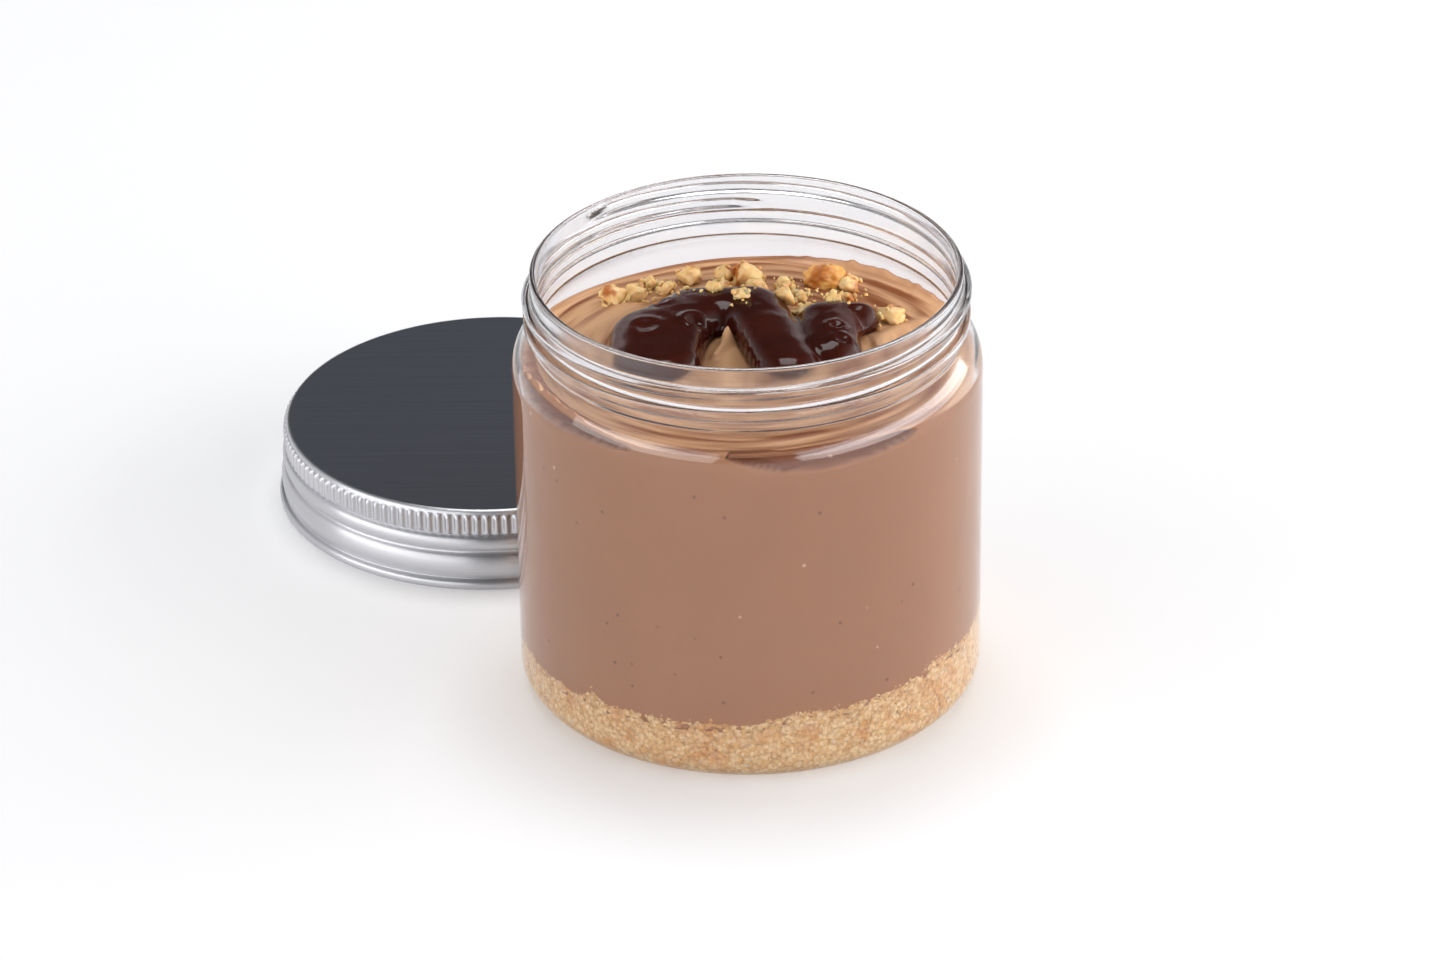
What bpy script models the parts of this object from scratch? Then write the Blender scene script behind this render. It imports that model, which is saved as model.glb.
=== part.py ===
"""A screw-top jar of layered hazelnut cheesecake, with its metal lid lying beside it.

Metres, +Z up.  The origin is the middle of the jar's underside, on the surface that it stands on.
The jar holds a layer of biscuit crumbs, a cheesecake filling and a pool of chocolate sauce.
Chopped hazelnuts are part of the filling or of the sauce, whichever they lie on.
"""
import math
import random

import bmesh
import bpy
from mathutils import Vector

MM = 0.001

# Jar: blown clear plastic with a 70 mm screw neck
JAR_RADIUS = 36.5 * MM
JAR_HEIGHT = 70.7 * MM
JAR_WALL = 0.8 * MM
JAR_FLOOR = 1.2 * MM
JAR_CORNER = 4.2 * MM
WALL_TOP = 54.0 * MM          # where the straight wall turns into the shoulder
NECK_BOTTOM = 60.2 * MM       # where the shoulder meets the neck
SHOULDER_POWER = 2.4          # how late the shoulder turns in: 1 would be a straight cone
NECK_RADIUS = 33.4 * MM
LIP_EDGE = 0.35 * MM
COLLAR_MIDDLE = 63.2 * MM     # broad bead round the foot of the neck
COLLAR_HALF = 1.45 * MM
COLLAR_RISE = 1.1 * MM
COLLAR_FLATNESS = 2.2         # a bump times this, cut off at 1, gives a flat top
SHOULDER_ROWS = 5
CORNER_ROWS = 3
ROUND_COLUMNS = 60

# Screw thread: one right-handed start that falls away clockwise, seen from above
THREAD_START = math.radians(141)
THREAD_SWEEP = math.radians(419)
THREAD_TOP = 68.5 * MM
THREAD_PITCH = 2.8 * MM
THREAD_RISE = 1.25 * MM
THREAD_HALF = 1.1 * MM
THREAD_FLATNESS = 1.6
THREAD_FADE = math.radians(14)
THREAD_ROW = 0.55 * MM

# What the jar holds
GAP = 0.3 * MM                # clearance between neighbouring pieces
CRUMB_HEIGHT = 11.1 * MM
CRUMB_TILT = 2.3 * MM         # the crumbs lie higher on the right
CRUMB_PEAK = 2.2 * MM
CRUMB_PEAK_AT = math.radians(-133)
CRUMB_PEAK_HALF = math.radians(6)
CRUMB_RIPPLES = ((0.4 * MM, 9, 1.0), (0.25 * MM, 17, 0.0))      # height, waves round the jar, shift
CRUMB_SWELL = 0.6 * MM        # slow rise and fall away from the wall
CRUMB_SWELL_LENGTH = 5.0 * MM
CREAM_LIFT = 0.6 * MM         # the filling over the crumbs, facets and all
CREAM_EDGE_BACK = 54.3 * MM
CREAM_EDGE_FRONT = 57.0 * MM
CREAM_MOUND = 0.7 * MM
CREAM_PEAK = (-3.0 * MM, 1.8 * MM)
CREAM_PEAK_RISE = 2.2 * MM
CREAM_PEAK_HALF = 1.9 * MM
CREAM_RIPPLE = (0.25 * MM, 5, 0.6)      # height, waves round the jar, shift
CREAM_SWIRL = 0.3 * MM        # marks of the spoon
CREAM_SWIRL_LENGTH = 2.4 * MM
CREAM_SWIRL_FADE = 3.0 * MM   # they end this far from the sauce

# Sauce: lobes in plan, each from one middle to another with its half width
SAUCE_LOBES = (
    ((-7.5, 11.8), (0.5, 11.8), 5.0),
    ((-8.0, 11.0), (-13.0, 4.0), 5.8),
    ((-13.8, 3.0), (-14.4, -6.5), 7.5),
    ((1.2, 10.8), (6.2, -8.5), 5.2),
    ((12.8, 7.0), (13.0, -3.5), 4.9),
    ((14.5, 8.6), (18.0, 8.4), 2.7),
)
SAUCE_BLEND = 1.2 * MM
SAUCE_DEPTH = 3.9 * MM
SAUCE_EDGE = 4.6 * MM         # how far in from its outline the sauce is at full depth
SAUCE_RIM = 0.7 * MM
SAUCE_LIFT = 0.55 * MM        # the facets of both surfaces stay apart
SAUCE_CELL = 2.25 * MM
SAUCE_PASSES = 12             # rounds of evening out the sauce's grid
SQUARE = ((0, 0), (1, 0), (1, 1), (0, 1))

# Hazelnut pieces: plan place in mm, then length, width and height in mm
NUTS_ON_CREAM = (
    (-20.6, 19.6, 4.8, 4.0, 3.8), (-17.6, 20.8, 4.0, 3.4, 3.4), (-15.2, 24.6, 3.0, 2.4, 2.4),
    (-12.8, 22.8, 3.4, 2.8, 2.4), (-8.8, 26.6, 4.8, 3.8, 3.6), (-3.0, 26.4, 3.8, 3.2, 3.2),
    (0.4, 25.0, 5.6, 4.8, 5.0), (-3.6, 22.4, 3.2, 2.8, 2.6), (1.8, 21.2, 4.2, 3.6, 3.2),
    (6.2, 22.6, 3.2, 2.6, 2.2), (12.6, 24.6, 7.2, 5.4, 5.0), (16.4, 23.4, 4.2, 3.6, 3.4),
    (22.4, 11.2, 4.8, 3.6, 3.4), (16.0, 18.4, 2.6, 2.2, 1.8), (8.6, 18.8, 2.8, 2.4, 2.0),
)
NUTS_ON_SAUCE = (
    (6.0, 12.6, 4.2, 3.4, 3.2), (8.8, 10.4, 3.2, 2.6, 2.4), (-0.6, 10.2, 3.0, 2.4, 2.0),
    (-5.0, 13.2, 2.6, 2.2, 1.8), (13.6, 10.4, 2.8, 2.2, 2.0),
)
NUT_SUNK = 0.3                # share of a piece's height that is under the surface
NUT_UNEVEN = (0.86, 1.06)     # how far in and out a corner of a piece may lie
BIG_NUT = 4.5                 # mm; smaller pieces are lumps with fewer sides

# Lid: spun sheet metal with a milled edge and a curled rim
LID_RADIUS = 36.0 * MM
LID_HEIGHT = 14.0 * MM
LID_DIRECTION = Vector((-42.4, 60.15)).normalized()
LID_CLEARANCE = 1.1 * MM
LID_COLUMNS = 68
KNURL_COLUMNS = 4 * LID_COLUMNS
KNURL_OUTER = 34.95 * MM
KNURL_INNER = 34.45 * MM
KNURL_ENDS = (9.9 * MM, 13.1 * MM)

SHARP_ANGLE = math.radians(35)


def plain_material(name, colour, roughness, metallic=0.0, alpha=1.0):
    material = bpy.data.materials.new(name)
    material.use_nodes = True
    shader = material.node_tree.nodes["Principled BSDF"]
    shader.inputs["Base Color"].default_value = (*colour, 1.0)
    shader.inputs["Roughness"].default_value = roughness
    shader.inputs["Metallic"].default_value = metallic
    shader.inputs["Alpha"].default_value = alpha
    return material


def add_object(name, shape, material):
    bmesh.ops.triangulate(shape, faces=shape.faces)
    mesh = bpy.data.meshes.new(name)
    shape.to_mesh(mesh)
    shape.free()
    mesh.shade_smooth()
    mesh.set_sharp_from_angle(angle=SHARP_ANGLE)
    mesh.materials.append(material)
    thing = bpy.data.objects.new(name, mesh)
    bpy.context.scene.collection.objects.link(thing)
    return thing


def smooth_step(value):
    value = min(max(value, 0.0), 1.0)
    return value * value * (3.0 - 2.0 * value)


def bump(offset, half):
    """1 in the middle of a ridge, falling smoothly to 0 at half its width."""
    return smooth_step(1.0 - abs(offset) / half)


def stitch(shape, lower, upper):
    """Join two rings of any two counts with triangles.  A single point counts as a ring."""
    low = high = 0
    low_end = len(lower) if len(lower) > 1 else 0
    high_end = len(upper) if len(upper) > 1 else 0
    while low < low_end or high < high_end:
        near = lower[low % len(lower)]
        far = upper[high % len(upper)]
        if high == high_end or (low < low_end and (low + 1) * high_end <= (high + 1) * low_end):
            low += 1
            shape.faces.new((near, lower[low % len(lower)], far))
        else:
            high += 1
            shape.faces.new((near, upper[high % len(upper)], far))


def turned_solid(name, rows, material, start_height, end_height):
    """Close a stack of rings into one body, with a point on the axis at each end.

    A row is (count, place), and place(angle) gives a radius and a height.
    The rows run so that the solid lies on their left in the radius and height plane.
    """
    shape = bmesh.new()
    rings = []
    for count, place in rows:
        ring = []
        for column in range(count):
            angle = 2.0 * math.pi * column / count
            radius, height = place(angle)
            ring.append(shape.verts.new((radius * math.cos(angle), radius * math.sin(angle), height)))
        rings.append(ring)
    for lower, upper in zip(rings, rings[1:]):
        stitch(shape, lower, upper)
    stitch(shape, [shape.verts.new((0.0, 0.0, start_height))], rings[0])
    stitch(shape, rings[-1], [shape.verts.new((0.0, 0.0, end_height))])
    return add_object(name, shape, material)


def fixed(radius, height):
    """A row's place where neither number changes round the axis."""
    return lambda angle: (radius, height)


# ---- jar ----

def outer_radius(height):
    """Radius outside the jar's wall, shoulder and neck, without thread or collar."""
    rise = min(max((height - WALL_TOP) / (NECK_BOTTOM - WALL_TOP), 0.0), 1.0)
    return JAR_RADIUS - (JAR_RADIUS - NECK_RADIUS) * rise ** SHOULDER_POWER


def inner_radius(height):
    return outer_radius(height) - JAR_WALL


def thread_rise(angle, height):
    """How far the screw thread stands out of the neck at this place."""
    rise = 0.0
    for turn in (0, 1):
        along = (THREAD_START - angle) % (2.0 * math.pi) + 2.0 * math.pi * turn
        if along <= THREAD_SWEEP:
            middle = THREAD_TOP - THREAD_PITCH * along / (2.0 * math.pi)
            ends = smooth_step(min(along, THREAD_SWEEP - along) / THREAD_FADE)
            ridge = min(1.0, THREAD_FLATNESS * bump(height - middle, THREAD_HALF))
            rise = max(rise, THREAD_RISE * ends * ridge)
    return rise


def neck_place(height):
    collar = COLLAR_RISE * min(1.0, COLLAR_FLATNESS * bump(height - COLLAR_MIDDLE, COLLAR_HALF))

    def place(angle):
        return outer_radius(height) + collar + thread_rise(angle, height), height

    return place


def corner_rows(radius, floor, corner, steps):
    """The rounded corner between a flat floor and a straight wall."""
    rows = []
    for step in range(steps + 1):
        turn = 0.5 * math.pi * step / steps
        rows.append((radius - corner * (1.0 - math.sin(turn)), floor + corner * (1.0 - math.cos(turn))))
    return rows


def make_jar(material):
    outside = [fixed(*row) for row in corner_rows(JAR_RADIUS, 0.0, JAR_CORNER, CORNER_ROWS)]
    shoulder_heights = [WALL_TOP + (NECK_BOTTOM - WALL_TOP) * row / SHOULDER_ROWS for row in range(SHOULDER_ROWS)]
    outside += [fixed(outer_radius(height), height) for height in shoulder_heights]
    neck_rows = int((JAR_HEIGHT - LIP_EDGE - NECK_BOTTOM) / THREAD_ROW)
    outside += [neck_place(NECK_BOTTOM + THREAD_ROW * row) for row in range(neck_rows + 1)]
    neck_inside = NECK_RADIUS - JAR_WALL
    lip = [
        fixed(NECK_RADIUS, JAR_HEIGHT - LIP_EDGE),
        fixed(NECK_RADIUS - 0.3 * LIP_EDGE, JAR_HEIGHT - 0.3 * LIP_EDGE),
        fixed(NECK_RADIUS - LIP_EDGE, JAR_HEIGHT),
        fixed(neck_inside, JAR_HEIGHT - LIP_EDGE),
    ]
    inside = [fixed(neck_inside, NECK_BOTTOM)]
    inside += [fixed(inner_radius(height), height) for height in reversed(shoulder_heights)]
    inner_corner = corner_rows(JAR_RADIUS - JAR_WALL, JAR_FLOOR, JAR_CORNER - JAR_WALL, CORNER_ROWS)
    inside += [fixed(*row) for row in reversed(inner_corner)]
    rows = [(ROUND_COLUMNS, place) for place in outside + lip + inside]
    return turned_solid("jar", rows, material, 0.0, JAR_FLOOR)


# ---- crumb base ----

def crumb_top(radius, angle):
    """Height of the uneven top of the crumbs."""
    share = radius / (JAR_RADIUS - JAR_WALL)
    tilt = CRUMB_TILT * math.cos(angle)
    turn = (angle - CRUMB_PEAK_AT + math.pi) % (2.0 * math.pi) - math.pi
    peak = CRUMB_PEAK * bump(turn, CRUMB_PEAK_HALF)
    ripple = sum(height * math.sin(waves * angle + shift) for height, waves, shift in CRUMB_RIPPLES)
    swell = CRUMB_SWELL * math.sin(radius / CRUMB_SWELL_LENGTH + 2.0 * angle)
    return CRUMB_HEIGHT + share * (tilt + share ** 4 * (peak + ripple)) + (1.0 - share) * share * 4.0 * swell


CONTENT_RADIUS = JAR_RADIUS - JAR_WALL - GAP
CRUMB_RINGS = (14.0 * MM, 27.0 * MM, CONTENT_RADIUS)


def crumb_surface(radius, lift):
    return lambda angle: (radius, crumb_top(radius, angle) + lift)


def make_crumb_base(material):
    floor = JAR_FLOOR + GAP
    corner = JAR_CORNER - JAR_WALL
    places = [fixed(*row) for row in corner_rows(CONTENT_RADIUS, floor, corner, CORNER_ROWS)]
    places += [crumb_surface(radius, 0.0) for radius in reversed(CRUMB_RINGS)]
    rows = [(ROUND_COLUMNS, place) for place in places]
    return turned_solid("crumb_base", rows, material, floor, crumb_top(0.0, 0.0))


# ---- sauce outline, which the filling makes room for ----

def capsule(x, y, start, end, half):
    """Distance from a point to a lobe's edge, negative inside."""
    ax, ay = start[0] * MM, start[1] * MM
    dx, dy = end[0] * MM - ax, end[1] * MM - ay
    along = min(max(((x - ax) * dx + (y - ay) * dy) / (dx * dx + dy * dy), 0.0), 1.0)
    return math.hypot(x - ax - dx * along, y - ay - dy * along) - half * MM


def sauce_outline(x, y):
    """Signed distance to the sauce's edge, with the lobes run together."""
    total = sum(math.exp(-capsule(x, y, *lobe) / SAUCE_BLEND) for lobe in SAUCE_LOBES)
    return -SAUCE_BLEND * math.log(total)


# ---- cheesecake filling ----

def cream_edge(angle):
    """Height of the filling where it meets the jar, higher at the front."""
    front = 0.5 - 0.5 * math.sin(angle)
    height, waves, shift = CREAM_RIPPLE
    ripple = height * math.sin(waves * angle + shift)
    return CREAM_EDGE_BACK + (CREAM_EDGE_FRONT - CREAM_EDGE_BACK) * front ** 1.5 + ripple


def cream_top(x, y):
    """Height of the filling's spooned, gently swirled top."""
    radius = math.hypot(x, y)
    angle = math.atan2(y, x)
    share = min(radius / CONTENT_RADIUS, 1.0)
    middle = 0.5 * (CREAM_EDGE_BACK + CREAM_EDGE_FRONT)
    level = middle + CREAM_MOUND * (1.0 - share * share) + (cream_edge(angle) - middle) * share * share
    swirl = CREAM_SWIRL * math.sin(radius / CREAM_SWIRL_LENGTH - 2.0 * angle) * share * (1.0 - share) * 4.0
    swirl *= smooth_step(sauce_outline(x, y) / CREAM_SWIRL_FADE)
    peak_distance = math.hypot(x - CREAM_PEAK[0], y - CREAM_PEAK[1])
    return level + swirl + CREAM_PEAK_RISE * bump(peak_distance, CREAM_PEAK_HALF)


CREAM_RINGS = tuple(radius * MM for radius in (2.5, 6.0, 10.0, 14.0, 18.5, 23.0, 27.5, 31.5))


def make_filling(material):
    top_of_wall = WALL_TOP - GAP

    def wall_place(share):
        def place(angle):
            height = top_of_wall + (cream_edge(angle) - top_of_wall) * share
            return inner_radius(height + GAP) - GAP, height

        return place

    def surface_place(radius):
        return lambda angle: (radius, cream_top(radius * math.cos(angle), radius * math.sin(angle)))

    places = [crumb_surface(radius, CREAM_LIFT) for radius in CRUMB_RINGS]
    places += [wall_place(share) for share in (0.0, 0.5, 1.0)]
    places += [surface_place(radius) for radius in reversed(CREAM_RINGS)]
    rows = [(ROUND_COLUMNS, place) for place in places]
    start = crumb_top(0.0, 0.0) + CREAM_LIFT
    return turned_solid("cheesecake_filling", rows, material, start, cream_top(0.0, 0.0))


# ---- chocolate sauce ----

def sauce_underside(x, y):
    return cream_top(x, y) + SAUCE_LIFT


def sauce_top(x, y):
    inside = min(max(-sauce_outline(x, y) / SAUCE_EDGE, 0.0), 1.0)
    dome = math.sqrt(1.0 - (1.0 - inside) ** 2)
    return sauce_underside(x, y) + SAUCE_RIM + (SAUCE_DEPTH - SAUCE_RIM) * dome


def to_outline(x, y):
    """Move a point straight out, or in, to the sauce's edge."""
    step = 0.05 * MM
    for _ in range(4):
        here = sauce_outline(x, y)
        slope_x = (sauce_outline(x + step, y) - here) / step
        slope_y = (sauce_outline(x, y + step) - here) / step
        steepness = slope_x ** 2 + slope_y ** 2
        x -= here * slope_x / steepness
        y -= here * slope_y / steepness
    return x, y


def sauce_cells():
    """Squares of a plan grid that lie in the sauce."""
    reach = int(CONTENT_RADIUS / SAUCE_CELL)
    span = range(-reach, reach)
    return {(i, j) for i in span for j in span
            if sauce_outline((i + 0.5) * SAUCE_CELL, (j + 0.5) * SAUCE_CELL) < 0.0}


def open_sides(cells):
    """Edges of the squares that have no square beyond them, each as two grid points."""
    for i, j in sorted(cells):
        square = [(i + a, j + b) for a, b in SQUARE]
        for side, beyond in enumerate(((i, j - 1), (i + 1, j), (i, j + 1), (i - 1, j))):
            if beyond not in cells:
                yield square[side], square[(side + 1) % len(square)]


def relaxed_grid(cells):
    """Plan place of each grid point, with the outer ones on the outline and all evenly spread."""
    beside = {}
    for i, j in cells:
        square = [(i + a, j + b) for a, b in SQUARE]
        for side, point in enumerate(square):
            beside.setdefault(point, set()).update((square[side - 1], square[(side + 1) % len(square)]))
    rim = {}
    for first, second in open_sides(cells):
        rim.setdefault(first, set()).add(second)
        rim.setdefault(second, set()).add(first)
    places = {point: (point[0] * SAUCE_CELL, point[1] * SAUCE_CELL) for point in sorted(beside)}
    for _ in range(SAUCE_PASSES):
        for point in places:
            near = [places[other] for other in sorted(rim.get(point, beside[point]))]
            x = sum(place[0] for place in near) / len(near)
            y = sum(place[1] for place in near) / len(near)
            places[point] = to_outline(x, y) if point in rim else (x, y)
    return places


def make_sauce(material):
    cells = sauce_cells()
    shape = bmesh.new()
    under, over = {}, {}
    for point, (x, y) in relaxed_grid(cells).items():
        under[point] = shape.verts.new((x, y, sauce_underside(x, y)))
        over[point] = shape.verts.new((x, y, sauce_top(x, y)))
    for i, j in sorted(cells):
        square = [(i + a, j + b) for a, b in SQUARE]
        shape.faces.new([over[point] for point in square])
        shape.faces.new([under[point] for point in reversed(square)])
    for first, second in open_sides(cells):
        shape.faces.new((under[first], under[second], over[second], over[first]))
    return add_object("chocolate_sauce", shape, material)


# ---- hazelnut pieces ----

def make_nut(index, nut, surface, material, chance):
    """One chopped piece: a lump with irregular corners, partly sunk in what it lies on."""
    x, y, length, width, height = nut
    shape = bmesh.new()
    bmesh.ops.create_icosphere(shape, subdivisions=2 if length >= BIG_NUT else 1, radius=0.5)
    turn = chance.uniform(0.0, math.pi)
    for vert in shape.verts:
        vert.co *= chance.uniform(*NUT_UNEVEN)
        across, along = vert.co.x * length * MM, vert.co.y * width * MM
        vert.co = Vector((
            across * math.cos(turn) - along * math.sin(turn) + x * MM,
            across * math.sin(turn) + along * math.cos(turn) + y * MM,
            surface(x * MM, y * MM) + (vert.co.z + 0.5 - NUT_SUNK) * height * MM,
        ))
    return add_object(f"nut_{index}", shape, material)


def fuse(base, bits):
    """Join bits to the piece they lie on, as one closed body."""
    holder = bpy.data.collections.new(base.name + "_bits")
    bpy.context.scene.collection.children.link(holder)
    for bit in bits:
        bpy.context.scene.collection.objects.unlink(bit)
        holder.objects.link(bit)
    union = base.modifiers.new("union", "BOOLEAN")
    union.operation = "UNION"
    union.operand_type = "COLLECTION"
    union.collection = holder
    union.solver = "EXACT"
    evaluated = base.evaluated_get(bpy.context.evaluated_depsgraph_get())
    joined = bpy.data.meshes.new_from_object(evaluated)
    base.modifiers.clear()
    base.data = joined
    for bit in bits:
        bpy.data.objects.remove(bit)
    bpy.data.collections.remove(holder)


def add_nuts(base, nuts, surface, material, seed):
    chance = random.Random(seed)
    bits = [make_nut(index, nut, surface, material, chance) for index, nut in enumerate(nuts)]
    fuse(base, bits)


# ---- lid ----

def knurl_place(height):
    def place(angle):
        column = round(angle * KNURL_COLUMNS / (2.0 * math.pi))
        return (KNURL_INNER if column % 2 else KNURL_OUTER), height

    return place


def make_lid(material):
    """Top up, open below: up the inside first, then out under the rim and up the outside."""
    inside = ((33.7, 13.5), (33.9, 6.6), (34.6, 5.7), (34.8, 0.0))
    rim = ((35.6, 0.0), (36.0, 0.4), (36.0, 1.2), (35.7, 1.6), (35.1, 1.85))
    bands = ((35.35, 2.2), (35.45, 4.0), (35.3, 5.8), (34.6, 6.3), (34.6, 6.8), (35.1, 7.1), (35.2, 8.2),
             (35.0, 9.2), (34.4, 9.5))
    edge = ((34.3, 13.55), (33.7, 14.0))
    rows = [(LID_COLUMNS, fixed(radius * MM, height * MM)) for radius, height in inside + rim + bands]
    rows += [(KNURL_COLUMNS, knurl_place(height)) for height in KNURL_ENDS]
    rows += [(LID_COLUMNS, fixed(radius * MM, height * MM)) for radius, height in edge]
    lid = turned_solid("lid", rows, material, inside[0][1] * MM, LID_HEIGHT)
    distance = JAR_RADIUS + LID_CLEARANCE + LID_RADIUS
    lid.location = (LID_DIRECTION.x * distance, LID_DIRECTION.y * distance, 0.0)
    return lid


def main():
    for thing in list(bpy.data.objects):
        bpy.data.objects.remove(thing)
    clear_plastic = plain_material("clear_plastic", (0.92, 0.93, 0.95), 0.05, alpha=0.3)
    biscuit = plain_material("biscuit_crumbs", (0.56, 0.34, 0.18), 0.9)
    cheesecake = plain_material("hazelnut_cheesecake", (0.36, 0.19, 0.13), 0.5)
    chocolate = plain_material("chocolate_sauce", (0.04, 0.012, 0.007), 0.15)
    hazelnut = plain_material("chopped_hazelnut", (0.6, 0.35, 0.12), 0.6)
    aluminium = plain_material("aluminium", (0.6, 0.6, 0.61), 0.3, metallic=1.0)
    make_jar(clear_plastic)
    make_crumb_base(biscuit)
    filling = make_filling(cheesecake)
    add_nuts(filling, NUTS_ON_CREAM, cream_top, hazelnut, seed=34)
    sauce = make_sauce(chocolate)
    add_nuts(sauce, NUTS_ON_SAUCE, sauce_top, hazelnut, seed=24)
    make_lid(aluminium)


main()
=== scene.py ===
# %% [markdown]
# # A screw-top jar of layered hazelnut cheesecake
#
# The real thing is a small dessert: biscuit crumbs, hazelnut cheesecake, chocolate sauce and
# chopped nuts, spooned into a clear plastic jar whose metal lid lies beside it.
# Its sizes and places are those of the solids in the frame.  This lesson dresses them, so that
# each surface looks like the food, plastic or metal that it is.

# %% Load the frame
import math
import random

import bmesh
import bpy
import numpy as np
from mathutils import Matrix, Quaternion, Vector, noise


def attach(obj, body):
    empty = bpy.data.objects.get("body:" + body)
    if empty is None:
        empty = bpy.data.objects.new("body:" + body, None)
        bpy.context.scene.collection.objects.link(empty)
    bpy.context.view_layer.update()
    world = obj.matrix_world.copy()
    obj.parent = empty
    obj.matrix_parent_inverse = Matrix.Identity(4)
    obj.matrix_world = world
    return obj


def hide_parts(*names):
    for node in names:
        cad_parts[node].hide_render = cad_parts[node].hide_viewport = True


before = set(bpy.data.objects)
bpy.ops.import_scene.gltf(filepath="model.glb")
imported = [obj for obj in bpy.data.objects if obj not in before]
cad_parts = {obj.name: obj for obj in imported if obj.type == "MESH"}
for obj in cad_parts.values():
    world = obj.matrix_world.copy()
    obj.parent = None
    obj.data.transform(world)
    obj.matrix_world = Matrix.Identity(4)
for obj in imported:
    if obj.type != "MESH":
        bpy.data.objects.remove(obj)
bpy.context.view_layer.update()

MM = 0.001  # metres in a millimetre
print("nodes in the frame:", sorted(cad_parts))

# %% [markdown]
# ## Camera
#
# A long lens from a little above keeps the jar's circles even ellipses and its walls upright.  A
# camera could be aimed with a constraint, but a direction and a distance are easier to read
# back.  A small roll keeps the jar's lean.

# %% Place the camera
CAMERA_TARGET = Vector((-4.483, 0.0, 33.554)) * MM
CAMERA_DISTANCE = 919.277 * MM
CAMERA_ELEVATION = math.radians(29.076)
CAMERA_ROLL = math.radians(-0.797)
LENS_MM = 146.74
SENSOR_MM = 36.0

view_direction = Vector((0.0, math.cos(CAMERA_ELEVATION), -math.sin(CAMERA_ELEVATION)))
camera = bpy.data.objects.new("camera", bpy.data.cameras.new("camera"))
camera.data.lens = LENS_MM
camera.data.sensor_width = SENSOR_MM
camera.data.clip_start = 10.0 * MM
camera.location = CAMERA_TARGET - view_direction * CAMERA_DISTANCE
camera.rotation_mode = "QUATERNION"
aim = view_direction.to_track_quat("-Z", "Y")
camera.rotation_quaternion = aim @ Quaternion((0.0, 0.0, 1.0), CAMERA_ROLL)
bpy.context.scene.collection.objects.link(camera)
bpy.context.scene.camera = camera
print("camera at", [round(value, 3) for value in camera.location])

# %% [markdown]
# ## Colours and nodes
#
# Colours are written as the hex values that a painting program shows.  A shader works in linear
# light, so one function converts them.  A second small function adds a node with its settings
# and its links, and a third lays one colour over another, which keeps each material short.

# %% Colour and node helpers
MIX_FACTOR, MIX_A, MIX_B, MIX_RESULT = 0, 6, 7, 2  # sockets of a Mix node that mixes colours
COLOURS = {"data_type": "RGBA"}  # makes a Mix node mix colours
SOFT = {"interpolation_type": "SMOOTHSTEP"}  # makes a Map Range node begin and end gently


def linear(code):
    """A hex colour as linear red, green, blue and alpha."""
    parts = [int(code[place:place + 2], 16) / 255.0 for place in (1, 3, 5)]
    bent = [part / 12.92 if part <= 0.04045 else ((part + 0.055) / 1.055) ** 2.4 for part in parts]
    return (*bent, 1.0)


def set_inputs(tree, node, inputs):
    """Give a node its inputs: plain values, hex colours or the outputs of other nodes."""
    for socket, value in inputs.items():
        if isinstance(value, bpy.types.NodeSocket):
            tree.links.new(value, node.inputs[socket])
        else:
            node.inputs[socket].default_value = linear(value) if isinstance(value, str) else value


def add_node(tree, kind, settings=None, inputs=None):
    """Add a node.  Its kind is Blender's name for it without the ShaderNode in front."""
    node = tree.nodes.new("ShaderNode" + kind)
    for name, value in (settings or {}).items():
        setattr(node, name, value)
    set_inputs(tree, node, inputs or {})
    return node


def layer(tree, under, over, decider, low, high, most=1.0):
    """One colour over another: none of it where the decider is low, this much where it is high."""
    share = add_node(tree, "MapRange", SOFT, {
        "Value": decider, "From Min": low, "From Max": high, "To Max": most})
    mixed = add_node(tree, "Mix", COLOURS, {
        MIX_FACTOR: share.outputs[0], MIX_A: under, MIX_B: over})
    return mixed.outputs[MIX_RESULT]


def start_material(name, values):
    """A Principled material with these values, its node tree and its shader."""
    material = bpy.data.materials.new(name)
    material.use_nodes = True
    tree = material.node_tree
    shader = tree.nodes["Principled BSDF"]
    set_inputs(tree, shader, values)
    return material, tree, shader


def per_metre(size_mm):
    """Texture scale that gives a feature of this size, as texture space here is metres."""
    return 1.0 / (size_mm * MM)


def sized(place, size_mm):
    """Inputs that give a texture features of this size."""
    return {"Vector": place, "Scale": per_metre(size_mm)}


print("hex #808080 is linear", round(linear("#808080")[0], 3))

# %% [markdown]
# ## Studio
#
# The jar stands on white card in soft light.  Two long, low strip lights draw the thin highlights
# on the plastic shoulder, and a softbox overhead, a little behind the jar, brings a soft shadow
# forward.  The room is grey, with white walls at both sides that brighten the jar's edges and a
# dark flag behind the set that keeps the sauce deep and draws dark lines in the plastic.  The
# bright band at the horizon is the card's far end, and the card glows a little, lit from below.

# %% Floor, lights and surroundings
FLOOR_SIZE = 6.0
SOFTBOXES = (
    # name, direction, distance, width and height in metres, power in watts
    ("right_strip", (0.96, -0.22, 0.34), 0.9, 2.40, 0.34, 10.2),
    ("left_strip", (-0.78, -0.60, 0.34), 0.9, 1.30, 0.34, 4.1),
    ("top_softbox", (0.0, 0.3, 1.0), 1.1, 0.50, 0.50, 4.5),
)
ROOM_COLOUR = "#606265"
SIDE_COLOUR = "#ECECEE"
SIDE_EDGE = 0.42  # sideways part of the direction where the side walls begin
SIDE_CORE = 0.82
HORIZON_COLOUR = "#F4F4F4"
HORIZON_TOP = 0.16  # sine of the elevation where the bright band has ended
FLAG_COLOUR = "#46484C"
FLAG_DIRECTION = (0.0, 0.87, 0.49)
FLAG_EDGE = 0.86  # cosine of the turn from its middle where the flag ends
FLAG_CORE = 0.94


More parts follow.
